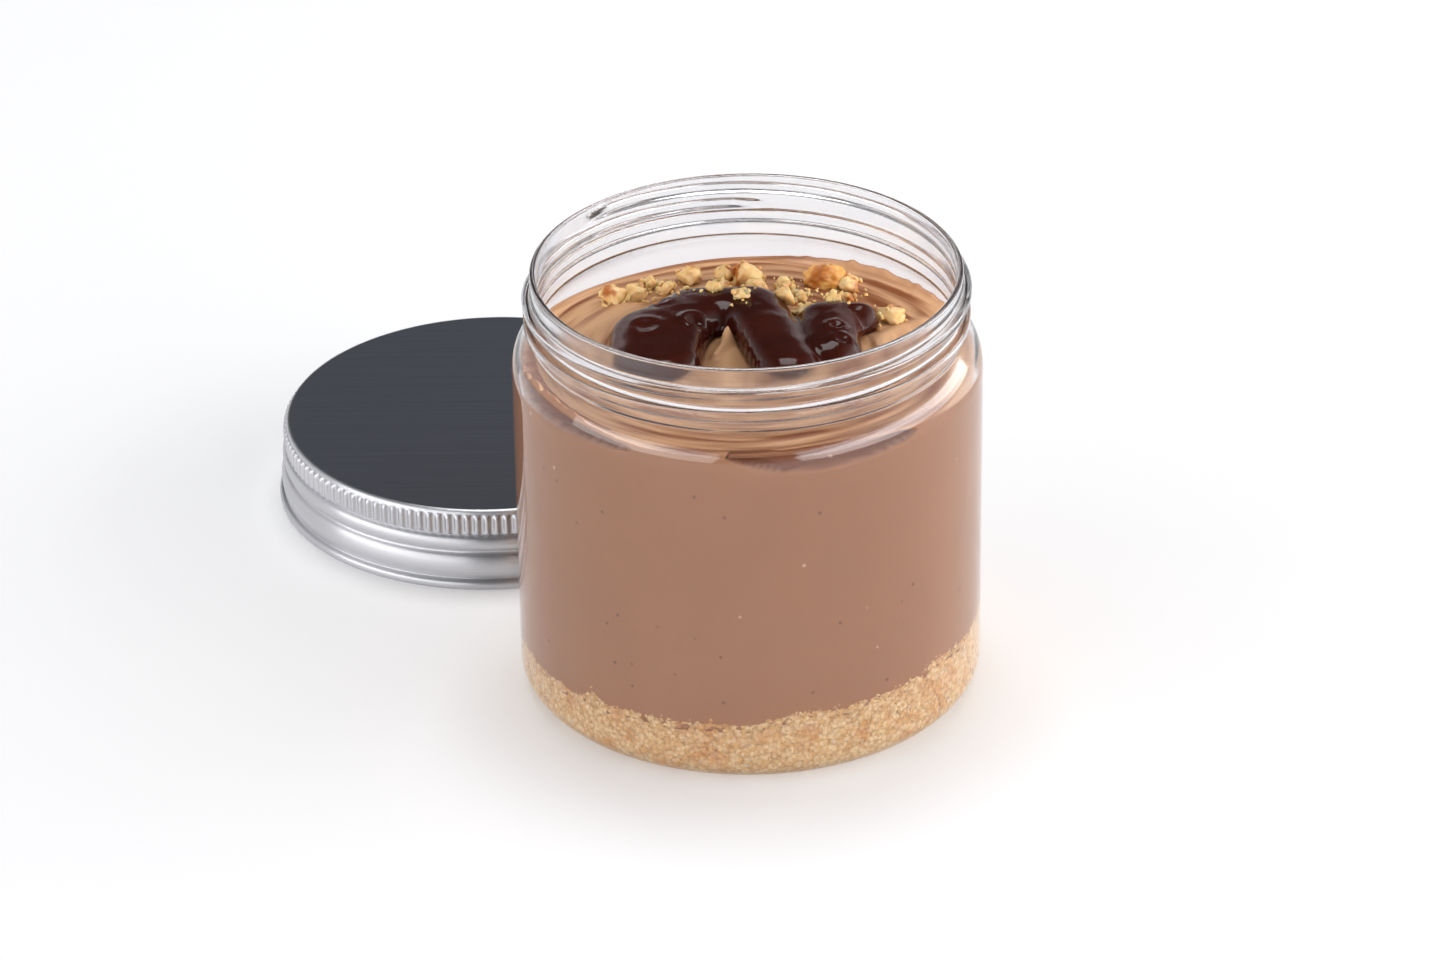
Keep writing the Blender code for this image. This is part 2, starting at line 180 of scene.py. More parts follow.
def add_softbox(name, direction, distance, width, height, power):
    lamp = bpy.data.lights.new(name, "AREA")
    lamp.shape = "RECTANGLE"
    lamp.size = width
    lamp.size_y = height
    lamp.energy = power
    stand = bpy.data.objects.new(name, lamp)
    stand.location = Vector(direction).normalized() * distance
    stand.rotation_mode = "QUATERNION"
    stand.rotation_quaternion = Vector(direction).to_track_quat("Z", "Y")
    stand.visible_camera = False
    bpy.context.scene.collection.objects.link(stand)


for softbox in SOFTBOXES:
    add_softbox(*softbox)

reach = 0.5 * FLOOR_SIZE
floor_mesh = bpy.data.meshes.new("floor")
floor_corners = [(-reach, -reach, 0.0), (reach, -reach, 0.0), (reach, reach, 0.0), (-reach, reach, 0.0)]
floor_mesh.from_pydata(floor_corners, [], [(0, 1, 2, 3)])
floor = bpy.data.objects.new("floor", floor_mesh)
bpy.context.scene.collection.objects.link(floor)
card, _, _ = start_material("matt_white_card", {
    "Base Color": "#F6F6F7",
    "Roughness": 1.0,
    "Specular IOR Level": 0.0,
    "Emission Color": "#FFFFFF",
    "Emission Strength": 0.14,
})
floor_mesh.materials.append(card)

world = bpy.data.worlds.new("studio")
world.use_nodes = True
bpy.context.scene.world = world
sky = world.node_tree
toward = add_node(sky, "TexCoord").outputs["Generated"]
parts = add_node(sky, "SeparateXYZ", inputs={0: toward})
sideways = add_node(sky, "Math", {"operation": "ABSOLUTE"}, {0: parts.outputs["X"]})
facing = add_node(sky, "VectorMath", {"operation": "DOT_PRODUCT"}, {0: toward, 1: FLAG_DIRECTION})
room = layer(sky, ROOM_COLOUR, SIDE_COLOUR, sideways.outputs[0], SIDE_EDGE, SIDE_CORE)
room = layer(sky, HORIZON_COLOUR, room, parts.outputs["Z"], 0.0, HORIZON_TOP)
room = layer(sky, room, FLAG_COLOUR, facing.outputs["Value"], FLAG_EDGE, FLAG_CORE)
set_inputs(sky, sky.nodes["Background"], {"Color": room})
bpy.context.scene.view_settings.view_transform = "Standard"
print("softboxes:", [softbox[0] for softbox in SOFTBOXES])

# %% [markdown]
# ## Shapes from rings
#
# The jar, its layers and the lid are all nearly round, so each is a stack of rings.  Blender's
# Screw modifier would spin a plain profile, but here the radius and the height also change on
# the way round: the thread climbs, the food is uneven and the lid has ridges.  So the rings are
# worked out as arrays of points, and one function joins them into a closed skin.  Every shape is
# in millimetres until its mesh is made, which is in metres.

# %% Ring helpers
def smooth_step(value):
    value = np.clip(value, 0.0, 1.0)
    return value * value * (3.0 - 2.0 * value)


def bump(offset, half):
    """1 in the middle of a ridge, falling smoothly to 0 at half its width."""
    return smooth_step(1.0 - np.abs(offset) / half)


def turn_between(angle, middle):
    """Signed turn from middle to angle, the short way round."""
    return (angle - middle + math.pi) % (2.0 * math.pi) - math.pi


def circle_of(columns):
    return np.arange(columns) * 2.0 * math.pi / columns


def ring_points(angle, radius, height):
    """Points at these angles.  Radius and height are numbers or arrays as long as the angles."""
    radius = np.broadcast_to(radius, angle.shape)
    height = np.broadcast_to(height, angle.shape)
    return np.stack((radius * np.cos(angle), radius * np.sin(angle), height), axis=-1)


def add_piece(name, points, faces, material):
    """A smooth mesh object from faces and an array of points in millimetres."""
    mesh = bpy.data.meshes.new(name)
    mesh.from_pydata((np.asarray(points).reshape(-1, 3) * MM).tolist(), [], faces)
    mesh.shade_smooth()
    mesh.materials.append(material)
    piece = bpy.data.objects.new(name, mesh)
    bpy.context.scene.collection.objects.link(piece)
    return piece


def ring_piece(name, rings, start, end, material):
    """Join rings of equal count, from a point at the start to a point at the end."""
    rings = np.array(rings)
    rows, columns = rings.shape[:2]
    index = np.arange(rows * columns).reshape(rows, columns)
    beside = np.roll(index, -1, axis=1)
    quads = np.stack((index[:-1], beside[:-1], beside[1:], index[1:]), axis=-1).reshape(-1, 4).tolist()
    first, last = rows * columns, rows * columns + 1
    fans = [(first, b, a) for a, b in zip(index[0].tolist(), beside[0].tolist())]
    fans += [(a, b, last) for a, b in zip(index[-1].tolist(), beside[-1].tolist())]
    points = np.concatenate((rings.reshape(-1, 3), [start, end]))
    return add_piece(name, points, quads + fans, material)


def noise_at(points, size):
    """Smooth noise of about this size at each point, from -1 to 1."""
    places = (points / size).reshape(-1, 3).tolist()
    return np.array([noise.noise(place) for place in places]).reshape(points.shape[:-1])


def corner_profile(radius, floor_height, corner, steps):
    """Radius and height round the corner between a flat floor and a straight wall."""
    turns = [0.5 * math.pi * step / steps for step in range(steps + 1)]
    return [(radius - corner * (1.0 - math.sin(turn)), floor_height + corner * (1.0 - math.cos(turn)))
            for turn in turns]


print("a corner of 4 mm starts at", corner_profile(36.5, 0.0, 4.0, 4)[0])

# %% [markdown]
# ## Jar: clear PET
#
# The jar is blown from a moulded preform of PET, the plastic of drinks bottles.  The neck keeps
# the preform's crisp screw thread and collar, and the shoulder rolls out into a thin straight
# wall.  A glass cylinder would miss what tells the eye that it is plastic: the helical thread,
# the soft shoulder that catches the softboxes and the thin parting line of the mould.

# %% The jar's outline
JAR_RADIUS = 36.5
JAR_HEIGHT = 70.7
JAR_WALL = 0.8
JAR_FLOOR = 1.2
JAR_CORNER = 4.2
WALL_TOP = 54.0
NECK_BOTTOM = 60.2
SHOULDER_POWER = 2.4  # how late the shoulder turns in: 1 would be a straight cone
NECK_RADIUS = 33.4
NECK_WALL = 1.0  # the moulded neck is thicker than the blown wall
THICKEN_FROM = 57.5
LIP_EDGE = 0.35
COLLAR_MIDDLE = 63.2
COLLAR_HALF = 1.45
COLLAR_RISE = 1.1
COLLAR_FLATNESS = 1.6  # a bump times this, cut off at 1, gives a flat top
THREAD_START = math.radians(141)
THREAD_SWEEP = math.radians(419)
THREAD_TOP = 68.5
THREAD_PITCH = 2.8
THREAD_RISE = 1.25
THREAD_HALF = 1.1
THREAD_FLATNESS = 1.6
THREAD_FADE = math.radians(14)
SEAM_RISE = 0.07  # parting line of the mould, at the front and the back
SEAM_HALF = math.radians(0.6)
SEAM_START = 2.0  # height of shoulder over which the parting line grows
JAR_COLUMNS = 400
NECK_STEP = 0.2
SHOULDER_ROWS = 30
CORNER_STEPS = 12  # round the jar's bottom corner, and fewer inside
INNER_CORNER_STEPS = 8
LIP_STEPS = 9


def outer_radius(height):
    """Radius outside the wall, shoulder and neck, without thread or collar."""
    rise = np.clip((height - WALL_TOP) / (NECK_BOTTOM - WALL_TOP), 0.0, 1.0)
    return JAR_RADIUS - (JAR_RADIUS - NECK_RADIUS) * rise ** SHOULDER_POWER


def inner_radius(height):
    """Radius inside, where the blown wall thickens into the moulded neck."""
    moulded = smooth_step((height - THICKEN_FROM) / (NECK_BOTTOM - THICKEN_FROM))
    return outer_radius(height) - JAR_WALL - (NECK_WALL - JAR_WALL) * moulded


def thread_rise(angle, height):
    """How far the screw thread stands out of the neck."""
    rise = np.zeros_like(angle)
    for turn in (0, 1):
        along = (THREAD_START - angle) % (2.0 * math.pi) + 2.0 * math.pi * turn
        middle = THREAD_TOP - THREAD_PITCH * along / (2.0 * math.pi)
        ends = smooth_step(np.minimum(along, THREAD_SWEEP - along) / THREAD_FADE)
        ridge = np.minimum(1.0, THREAD_FLATNESS * bump(height - middle, THREAD_HALF))
        rise = np.maximum(rise, THREAD_RISE * ends * ridge)
    return rise


def jar_rings():
    angle = circle_of(JAR_COLUMNS)
    seam = SEAM_RISE * (bump(turn_between(angle, -0.5 * math.pi), SEAM_HALF)
                        + bump(turn_between(angle, 0.5 * math.pi), SEAM_HALF))
    rings = [ring_points(angle, *row) for row in corner_profile(JAR_RADIUS, 0.0, JAR_CORNER, CORNER_STEPS)]
    shoulder = np.linspace(WALL_TOP, NECK_BOTTOM, SHOULDER_ROWS)
    for height in shoulder[:-1]:
        faded = seam * smooth_step((height - WALL_TOP) / SEAM_START)
        rings.append(ring_points(angle, outer_radius(height) + faded, height))
    for height in np.arange(NECK_BOTTOM, JAR_HEIGHT - LIP_EDGE, NECK_STEP):
        collar = COLLAR_RISE * np.minimum(1.0, COLLAR_FLATNESS * bump(height - COLLAR_MIDDLE, COLLAR_HALF))
        rings.append(ring_points(angle, NECK_RADIUS + collar + seam + thread_rise(angle, height), height))
    lip_middle = NECK_RADIUS - 0.5 * NECK_WALL
    for turn in np.linspace(0.0, math.pi, LIP_STEPS):
        rings.append(ring_points(angle, lip_middle + 0.5 * NECK_WALL * math.cos(turn),
                                 JAR_HEIGHT - LIP_EDGE + LIP_EDGE * math.sin(turn)))
    rings.append(ring_points(angle, NECK_RADIUS - NECK_WALL, NECK_BOTTOM + NECK_STEP))
    rings += [ring_points(angle, float(inner_radius(height)), height) for height in reversed(shoulder)]
    inside = corner_profile(JAR_RADIUS - JAR_WALL, JAR_FLOOR, JAR_CORNER - JAR_WALL, INNER_CORNER_STEPS)
    rings += [ring_points(angle, *row) for row in reversed(inside)]
    return rings


print("shoulder falls from", round(float(outer_radius(WALL_TOP)), 2), "to",
      round(float(outer_radius(NECK_BOTTOM)), 2), "mm")

# %% [markdown]
# PET is a clear, slightly soft plastic.  Its IOR of 1.575 is above that of glass at 1.5, so its
# edges bend more and its highlights are stronger.  The blown wall is polished and the moulded
# neck a touch satin, so roughness follows the height.  Blowing never leaves a surface quite flat,
# so a faint wide waviness goes in as a bump.  The plastic casts no shadow of its own here: real
# PET passes nearly all light, and a path tracer would darken what is inside.

# %% PET material and jar
PET_WAVE_MM = 9.0  # width of the ripples that blowing leaves
WALL_ROUGHNESS = 0.03
NECK_ROUGHNESS = 0.09

pet, tree, shader = start_material("blown_clear_pet", {
    "Base Color": "#F5F4F6",
    "IOR": 1.575,
    "Transmission Weight": 1.0,
})
place = add_node(tree, "TexCoord").outputs["Object"]
level = add_node(tree, "SeparateXYZ", inputs={0: place})
satin = add_node(tree, "MapRange", SOFT, {
    "Value": level.outputs["Z"], "From Min": WALL_TOP * MM, "From Max": NECK_BOTTOM * MM,
    "To Min": WALL_ROUGHNESS, "To Max": NECK_ROUGHNESS})
wave = add_node(tree, "TexNoise", inputs={**sized(place, PET_WAVE_MM), "Detail": 1.0})
relief = add_node(tree, "Bump", inputs={
    "Height": wave.outputs["Fac"], "Strength": 0.15, "Distance": 0.5 * MM})
set_inputs(tree, shader, {"Roughness": satin.outputs[0], "Normal": relief.outputs["Normal"]})

jar = ring_piece("pet_jar", jar_rings(), (0.0, 0.0, 0.0), (0.0, 0.0, JAR_FLOOR), pet)
jar.visible_shadow = False
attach(jar, "root")
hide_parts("jar")
print("jar faces:", len(jar.data.polygons))

# %% [markdown]
# ## Crumb base: pressed biscuit
#
# The lowest layer is crushed biscuit pressed down with butter.  Through the wall it shows as
# packed grains of all sizes, some flat against the plastic and some set back with a dark pore
# between them.  Bump alone would look painted on, so the skin itself has the relief, and loose
# grains of true size are pressed into it, most of them along the ragged upper edge.

# %% Crumb surface
GAP = 0.3  # what the solids keep between neighbours
CONTENT_RADIUS = JAR_RADIUS - JAR_WALL - GAP
BITE = 0.25  # how far the food reaches into the plastic, so no air shows
CRUMB_HEIGHT = 11.1
CRUMB_TILT = 2.3
CRUMB_PEAK = 2.2
CRUMB_PEAK_AT = math.radians(-133)
CRUMB_PEAK_HALF = math.radians(6)
CRUMB_RIPPLES = ((0.4, 9.0, 1.0), (0.25, 17.0, 0.0))  # height, waves on the way round, shift
CRUMB_SWELL = 0.6  # rise of the wide waves inside
CRUMB_COLUMNS = 760
CRUMB_STEP = 0.3
GRAIN_MM = 1.3  # usual width of a crumb
FINE_GRAIN_MM = 0.6
PACKED_MM = 0.7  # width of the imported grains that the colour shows
PORE_DEPTH = 0.4
INNER_RADII = (34.6, 30.0, 15.0)  # rings where crumbs and cream meet inside


def crumb_top(radius, angle):
    """Height of the uneven top of the crumbs."""
    share = radius / (JAR_RADIUS - JAR_WALL)
    tilt = CRUMB_TILT * np.cos(angle)
    peak = CRUMB_PEAK * bump(turn_between(angle, CRUMB_PEAK_AT), CRUMB_PEAK_HALF)
    ripple = sum(rise * np.sin(waves * angle + shift) for rise, waves, shift in CRUMB_RIPPLES)
    middle = CRUMB_SWELL * np.sin(radius / 5.0 + 2.0 * angle)
    edge = share * (tilt + share ** 4 * (peak + ripple))
    return CRUMB_HEIGHT + edge + (1.0 - share) * share * 4.0 * middle


def pores(points):
    """0 where a grain touches the wall, up to 1 in the pores between grains."""
    coarse = noise_at(points, GRAIN_MM)
    fine = noise_at(points, FINE_GRAIN_MM)
    return smooth_step(0.25 + 0.9 * coarse + 0.6 * fine)


def crumb_rings():
    angle = circle_of(CRUMB_COLUMNS)
    wall = JAR_RADIUS - JAR_WALL + BITE
    floor_height = JAR_FLOOR - BITE
    edge = crumb_top(CONTENT_RADIUS, angle)
    corner = corner_profile(wall, floor_height, JAR_CORNER - JAR_WALL, INNER_CORNER_STEPS + 1)
    rings = [ring_points(angle, *row) for row in corner]
    rows = int(CRUMB_HEIGHT / CRUMB_STEP)
    start = rings[-1][0, 2]
    for row in range(1, rows + 1):
        rings.append(ring_points(angle, wall, start + (edge - start) * row / rows))
    rings = np.array(rings)
    depth = PORE_DEPTH * pores(rings)
    rings[..., :2] *= (1.0 - depth / np.hypot(rings[..., 0], rings[..., 1]))[..., None]
    inside = [ring_points(angle, radius, crumb_top(radius, angle)) for radius in INNER_RADII]
    return [*rings, *inside]


crumb_edge = crumb_top(CONTENT_RADIUS, circle_of(360))
print("crumbs reach", round(float(crumb_edge.min()), 1), "to", round(float(crumb_edge.max()), 1), "mm")

# %% [markdown]
# Biscuit is baked dough: matt, dry and full of air.  Its colour runs from pale flour to the
# darker brown of the baked outside, and butter makes it a little golden.  A Voronoi pattern
# gives each packed grain its own tone and darkens its edge as painted shade in the gap between
# grains, a wide noise adds patches that took more heat, and a fine noise breaks up each grain,
# so no two crumbs match.

# %% Biscuit material
PATCH_MM = 4.0  # width of the patches that took more heat
DUST_MM = 0.35

biscuit, tree, shader = start_material("crushed_butter_biscuit", {
    "Roughness": 0.85,
    "Specular IOR Level": 0.25,
})
place = add_node(tree, "TexCoord").outputs["Object"]
grain = add_node(tree, "TexVoronoi", inputs=sized(place, PACKED_MM))
grain_tone = add_node(tree, "SeparateColor", inputs={0: grain.outputs["Color"]})
patch = add_node(tree, "TexNoise", inputs=sized(place, PATCH_MM))
dust = add_node(tree, "TexNoise", inputs=sized(place, DUST_MM))
flour = layer(tree, "#D4AD7A", "#E3C9A0", grain_tone.outputs[0], 0.1, 0.9)
baked = layer(tree, flour, "#C9894A", patch.outputs["Fac"], 0.48, 0.7, 0.55)
specked = layer(tree, baked, "#A87239", dust.outputs["Fac"], 0.56, 0.72, 0.65)
# painted shade: each grain's edge is darkened where it meets the next grain
edge_shaded = layer(tree, specked, "#8E5E2E", grain.outputs["Distance"], 0.40, 0.80, 0.36)
relief = add_node(tree, "Bump", inputs={
    "Height": dust.outputs["Fac"], "Strength": 0.6, "Distance": 0.2 * MM})
set_inputs(tree, shader, {"Base Color": edge_shaded, "Normal": relief.outputs["Normal"]})

crumb_bed = ring_piece("biscuit_crumb_bed", crumb_rings(), (0.0, 0.0, JAR_FLOOR - BITE),
                       (0.0, 0.0, float(crumb_top(0.0, 0.0))), biscuit)
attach(crumb_bed, "root")
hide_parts("crumb_base")
print("crumb bed faces:", len(crumb_bed.data.polygons))

# %% [markdown]
# Loose grains are lumps: a small sphere, flattened where it broke.  Particles would not survive
# an export, so all the grains are joined into one mesh, worked out as arrays from one sphere.

# %% Lumps and grains
GRAIN_COUNT = 2300
GRAIN_SIZES = (0.45, 1.9)  # smallest and largest
GRAIN_CUTS = 3
CRUMB_BREAKS = (0.25, 0.45)  # how near to the middle a broken side can lie, where the edge is 0.5
PRESSED_IN = (0.25, 0.5)  # least and most share of a grain's size between its middle and the wall
EDGE_SHARE = 0.45  # share of the grains that lie along the upper edge
EDGE_SCATTER = (-0.3, 0.45)  # mean and spread of their height over it


def unit_sphere(subdivisions):
    """Points and faces of a sphere 1 across."""
    shape = bmesh.new()
    bmesh.ops.create_icosphere(shape, subdivisions=subdivisions, radius=0.5)
    points = np.array([vert.co[:] for vert in shape.verts])
    faces = np.array([[vert.index for vert in face.verts] for face in shape.faces])
    shape.free()
    return points, faces


def random_direction(chance):
    return np.array(Vector([chance.gauss(0.0, 1.0) for _ in range(3)]).normalized())


def chopped(points, chance, cuts, nearest, farthest):
    """The sphere with flat broken sides, each at a random distance from the middle."""
    points = points.copy()
    for _ in range(cuts):
        direction = random_direction(chance)
        over = np.maximum(points @ direction - chance.uniform(nearest, farthest), 0.0)
        points -= np.outer(over, direction) * 0.9
    return points


def turned(points, chance):
    """The points turned to face a random way."""
    axis = Vector(random_direction(chance))
    turn = np.array(Quaternion(axis, chance.uniform(0.0, 2.0 * math.pi)).to_matrix())
    return points @ turn.T


def join_lumps(name, lumps, faces, material):
    """Many lumps that share one sphere's faces, as one piece."""
    count = len(lumps[0])
    all_faces = np.concatenate([faces + count * index for index in range(len(lumps))])
    return add_piece(name, np.concatenate(lumps), all_faces.tolist(), material)


def biscuit_grains():
    chance = random.Random(7)
    sphere, faces = unit_sphere(1)
    wall = JAR_RADIUS - JAR_WALL + BITE
    lumps = []
    for index in range(GRAIN_COUNT):
        angle = chance.uniform(0.0, 2.0 * math.pi)
        size = float(np.clip(chance.lognormvariate(-0.15, 0.35), *GRAIN_SIZES))
        edge = float(crumb_top(CONTENT_RADIUS, angle))
        if index < GRAIN_COUNT * EDGE_SHARE:
            height = edge + chance.gauss(*EDGE_SCATTER)
        else:
            height = chance.uniform(JAR_CORNER, edge)
        reach = wall - size * chance.uniform(*PRESSED_IN)
        lump = turned(chopped(sphere, chance, GRAIN_CUTS, *CRUMB_BREAKS), chance) * size
        lump += np.array((reach * math.cos(angle), reach * math.sin(angle), height))
        lump[:, :2] *= np.minimum(1.0, (wall + 0.05) / np.hypot(lump[:, 0], lump[:, 1]))[:, None]
        lumps.append(lump)
    return lumps, faces


lumps, faces = biscuit_grains()
grains = join_lumps("biscuit_grains", lumps, faces, biscuit)
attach(grains, "root")
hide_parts("crumb_base")
print("biscuit grains:", len(lumps))

# %% [markdown]
# ## Cheesecake filling
#
# Hazelnut cheesecake is a dense, smooth cream.  It was spooned in on top of the crumbs, so it
# lies against the plastic nearly everywhere, but under the shoulder a few pockets of air stayed
# where the cream did not follow the curve.  Its top has the marks of the spoon, and a thin wipe
# of cream climbs the wall at the back right.  All of that is relief in one closed skin.

# %% Sauce outline, which the filling's swirls give way to
SAUCE_LOBES = (
    # start and end of each lobe's middle and its half width, in mm seen from above
    ((-7.5, 11.8), (0.5, 11.8), 5.0),
    ((-8.0, 11.0), (-13.0, 4.0), 5.8),
    ((-13.8, 3.0), (-14.4, -6.5), 7.5),
    ((1.2, 10.8), (6.2, -8.5), 5.2),
    ((12.8, 7.0), (13.0, -3.5), 4.9),
    ((14.5, 8.6), (18.0, 8.4), 2.7),
)
SAUCE_BLEND = 1.2


def lobe_distance(x, y, start, end, half):
    """Distance to a lobe's edge, negative inside."""
    dx, dy = end[0] - start[0], end[1] - start[1]
    along = np.clip(((x - start[0]) * dx + (y - start[1]) * dy) / (dx * dx + dy * dy), 0.0, 1.0)
    return np.hypot(x - start[0] - dx * along, y - start[1] - dy * along) - half


def sauce_outline(x, y, blend=SAUCE_BLEND):
    """Signed distance to the sauce's edge, with the lobes run together."""
    total = sum(np.exp(-lobe_distance(x, y, *lobe) / blend) for lobe in SAUCE_LOBES)
    return -blend * np.log(total)


print("from the front to the sauce:", round(float(sauce_outline(0.0, -30.0)), 1), "mm")

# %% Cream surface
CREAM_EDGE_BACK = 54.3
CREAM_EDGE_FRONT = 57.0
CREAM_MOUND = 0.7
SWIRL_RISE = 0.3
SWIRL_CALM = 3.0  # distance from the sauce where the swirls have faded in
CREAM_PEAK = (-3.0, 1.8)
CREAM_PEAK_RISE = 2.2
CREAM_PEAK_HALF = 1.9
CREAM_COLUMNS = 420
CREAM_WALL_ROWS = 84
CREAM_TOP_ROWS = 92
CREAM_OVERLAP = 1.4  # how far the cream reaches down behind the crumbs
BEHIND_CRUMBS = 0.15  # how far it is set back there
CLIMB_SHARE = 0.06  # outer share of the top where the cream climbs the wall
WIPES = (
    # cream drawn up the wall: turn and half width in degrees, rise in mm
    (52.0, 38.0, 1.7),
    (-158.0, 44.0, 2.3),
)
WIPE_RAGGED = 0.8  # how far their upper edge goes up and down
WIPE_INSIDE = 34.0  # radius where the first wipe turns thin and pale
WIPE_PALENESS = 0.8
DRAG_DEPTH = 0.22
DRAG_LINES = ((0.8, 1.6, 2.0), (0.7, 0.6, 3.5))  # strength, width, and how soon they break off
DRAG_FROM = 12.0  # radius where their relief begins
DRAG_FADE = 12.0  # distance over which they grow outwards
STREAKS_FROM = 8.0  # radius where their colour begins
STREAKS_AT = math.radians(62)  # where the open top is brownest
STREAKS_HALF = math.radians(60)
CREAM_FOLDS = (
    # start and end seen from above, half width and rise, all in mm
    ((-27.0, 5.0), (-18.5, 15.5), 4.6, 1.1),
    ((-3.2, 0.5), (-3.4, -16.0), 3.4, 0.5),
    ((21.0, 4.0), (27.5, 10.5), 3.2, 0.7),
    ((-5.0, -2.6), (-2.9, 2.2), 1.1, 0.9),
)
POCKETS = (
    # start, middle and end: turn in degrees and height in mm; then half height and depth in mm
    ((-208.0, 56.3), (-160.0, 56.2), (-120.5, 56.2), 1.3, 2.2),
    ((-96.0, 57.0), (-82.0, 55.8), (-46.0, 55.9), 1.6, 1.9),
)
POCKET_REACH = 1.25  # a pocket starts from inside the plastic, so it goes this much deeper
LEAST_WIDTH = 0.001  # keeps the ends of a pocket from a division by zero


def cream_edge(angle):
    """Height of the filling where it meets the jar, higher at the front."""
    front = 0.5 - 0.5 * np.sin(angle)
    ripple = 0.25 * np.sin(5.0 * angle + 0.6)
    return CREAM_EDGE_BACK + (CREAM_EDGE_FRONT - CREAM_EDGE_BACK) * front ** 1.5 + ripple


def cream_level(x, y):
    """Height of the filling's top, as the solid has it."""
    radius = np.hypot(x, y)
    angle = np.arctan2(y, x)
    share = np.minimum(radius / CONTENT_RADIUS, 1.0)
    middle = 0.5 * (CREAM_EDGE_BACK + CREAM_EDGE_FRONT)
    level = middle + CREAM_MOUND * (1.0 - share * share) + (cream_edge(angle) - middle) * share * share
    swirl = SWIRL_RISE * np.sin(radius / 2.4 - 2.0 * angle) * share * (1.0 - share) * 4.0
    swirl *= smooth_step(sauce_outline(x, y) / SWIRL_CALM)
    distance = np.hypot(x - CREAM_PEAK[0], y - CREAM_PEAK[1])
    return level + swirl + CREAM_PEAK_RISE * bump(distance, CREAM_PEAK_HALF)


def round_noise(x, y, width, turns):
    """Noise in long arcs of this width.  The way round is a circle in noise space, with no seam."""
    radius = np.hypot(x, y)
    turn = np.arctan2(y, x)
    places = np.stack((radius / width, turns * np.cos(turn), turns * np.sin(turn)), axis=-1)
    return noise_at(places, 1.0)


def drag_lines(x, y):
    """Lines that the spoon drew as it went round, from -1 to 1."""
    return sum(strength * round_noise(x, y, width, turns) for strength, width, turns in DRAG_LINES)


def fold_shares(x, y):
    """For each smooth fold of cream, 1 along its middle and 0 away from it."""
    return [bump(lobe_distance(x, y, start, end, 0.0), half) for start, end, half, _ in CREAM_FOLDS]


def wipe_share(angle, wipe):
    """1 in the middle of a wipe up the wall, 0 beyond its ends."""
    return bump(turn_between(angle, math.radians(wipe[0])), math.radians(wipe[1]))


def spoon_marks(x, y):
    """Relief that the spoon left: drag lines near the wall and soft folds beside the sauce."""
    outer = smooth_step((np.hypot(x, y) - DRAG_FROM) / DRAG_FADE)
    shares = fold_shares(x, y)
    folds = sum(fold[-1] * share for fold, share in zip(CREAM_FOLDS, shares))
    return DRAG_DEPTH * drag_lines(x, y) * outer * (1.0 - np.max(shares, axis=0)) + folds


def streak_tone(x, y):
    """How brown the open top is: 1 in a drag line, 0 on a smooth fold."""
    outer = smooth_step((np.hypot(x, y) - STREAKS_FROM) / DRAG_FADE)
    behind = 0.2 * outer * bump(turn_between(np.arctan2(y, x), STREAKS_AT), STREAKS_HALF)
    brown = np.clip(0.45 + 1.1 * drag_lines(x, y) * outer + behind, 0.0, 1.0)
    return brown * (1.0 - 0.9 * np.max(fold_shares(x, y), axis=0))


def pocket_depth(angle, height):
    """How far the cream stands back from the wall in the air pockets under the shoulder."""
    depth = np.zeros_like(angle)
    turn = np.degrees(angle) % 360.0 - 360.0
    for start, middle, end, half, deep in POCKETS:
        share = (turn - start[0]) / (end[0] - start[0])
        line = np.interp(turn, *zip(start, middle, end))
        width = half * np.sqrt(np.clip(4.0 * share * (1.0 - share), 0.0, 1.0)) + LEAST_WIDTH
        hollow = deep * smooth_step(2.5 * (1.0 - np.abs(height - line) / width))
        depth = np.maximum(depth, hollow * ((share > 0.0) & (share < 1.0)))
    return depth


def cream_rings():
    angle = circle_of(CREAM_COLUMNS)
    signed = turn_between(angle, 0.0)
    bottom = crumb_top(CONTENT_RADIUS, angle) - CREAM_OVERLAP
    ragged = WIPE_RAGGED * noise_at(ring_points(angle, 1.0, 0.0), 0.05)
    edge = cream_edge(angle) + sum((wipe[2] + ragged) * wipe_share(angle, wipe) for wipe in WIPES)
    rings = [ring_points(angle, radius, crumb_top(radius, angle) - CREAM_OVERLAP)
             for radius in reversed(INNER_RADII)]
    for row in range(CREAM_WALL_ROWS + 1):
        share = 1.0 - (1.0 - row / CREAM_WALL_ROWS) ** 1.6
        height = bottom + (edge - bottom) * share
        set_back = BEHIND_CRUMBS * smooth_step(crumb_top(CONTENT_RADIUS, angle) - height + 0.5)
        radius = inner_radius(height) + BITE - set_back - POCKET_REACH * pocket_depth(signed, height)
        rings.append(ring_points(angle, radius, height))
    wall = inner_radius(edge) + BITE
    for row in range(1, CREAM_TOP_ROWS):
        share = 1.0 - row / CREAM_TOP_ROWS
        radius = wall * share
        x, y = radius * np.cos(angle), radius * np.sin(angle)
        climb = (edge - cream_edge(angle)) * smooth_step(1.0 - (1.0 - share) / CLIMB_SHARE)
        marked = spoon_marks(x, y) * smooth_step(2.0 * (1.0 - share) / CLIMB_SHARE)
        height = cream_level(x, y) + marked + climb
        rings.append(ring_points(angle, radius, height))
    return rings


print("cream meets the wall at", round(float(cream_edge(-0.5 * math.pi)), 1), "mm in front")

# %% [markdown]
# The filling is soft cheese with ground nuts and cocoa: an opaque, even brown with a satin skin.
# Against the plastic it shows small dark and pale specks of nut, and pinholes left by air.  They
# are spots of true size mixed over the base; the dark ones are partly nut and partly painted
# shade inside the pinholes, which also sink in the bump.  The open top is painted browner and
# darker than the cream against the wall, partly as painted shade, and browner still along the
# spoon's lines; the air pockets under the shoulder are painted the darkest brown as painted
# shade.  A procedural pattern could not know where those lines and pockets are, so the mesh
# keeps two numbers at each point for it.

# %% Cheesecake material
DARK_SPOT_MM = 4.2  # about how far apart the dark and the pale specks are
PALE_SPOT_MM = 5.5

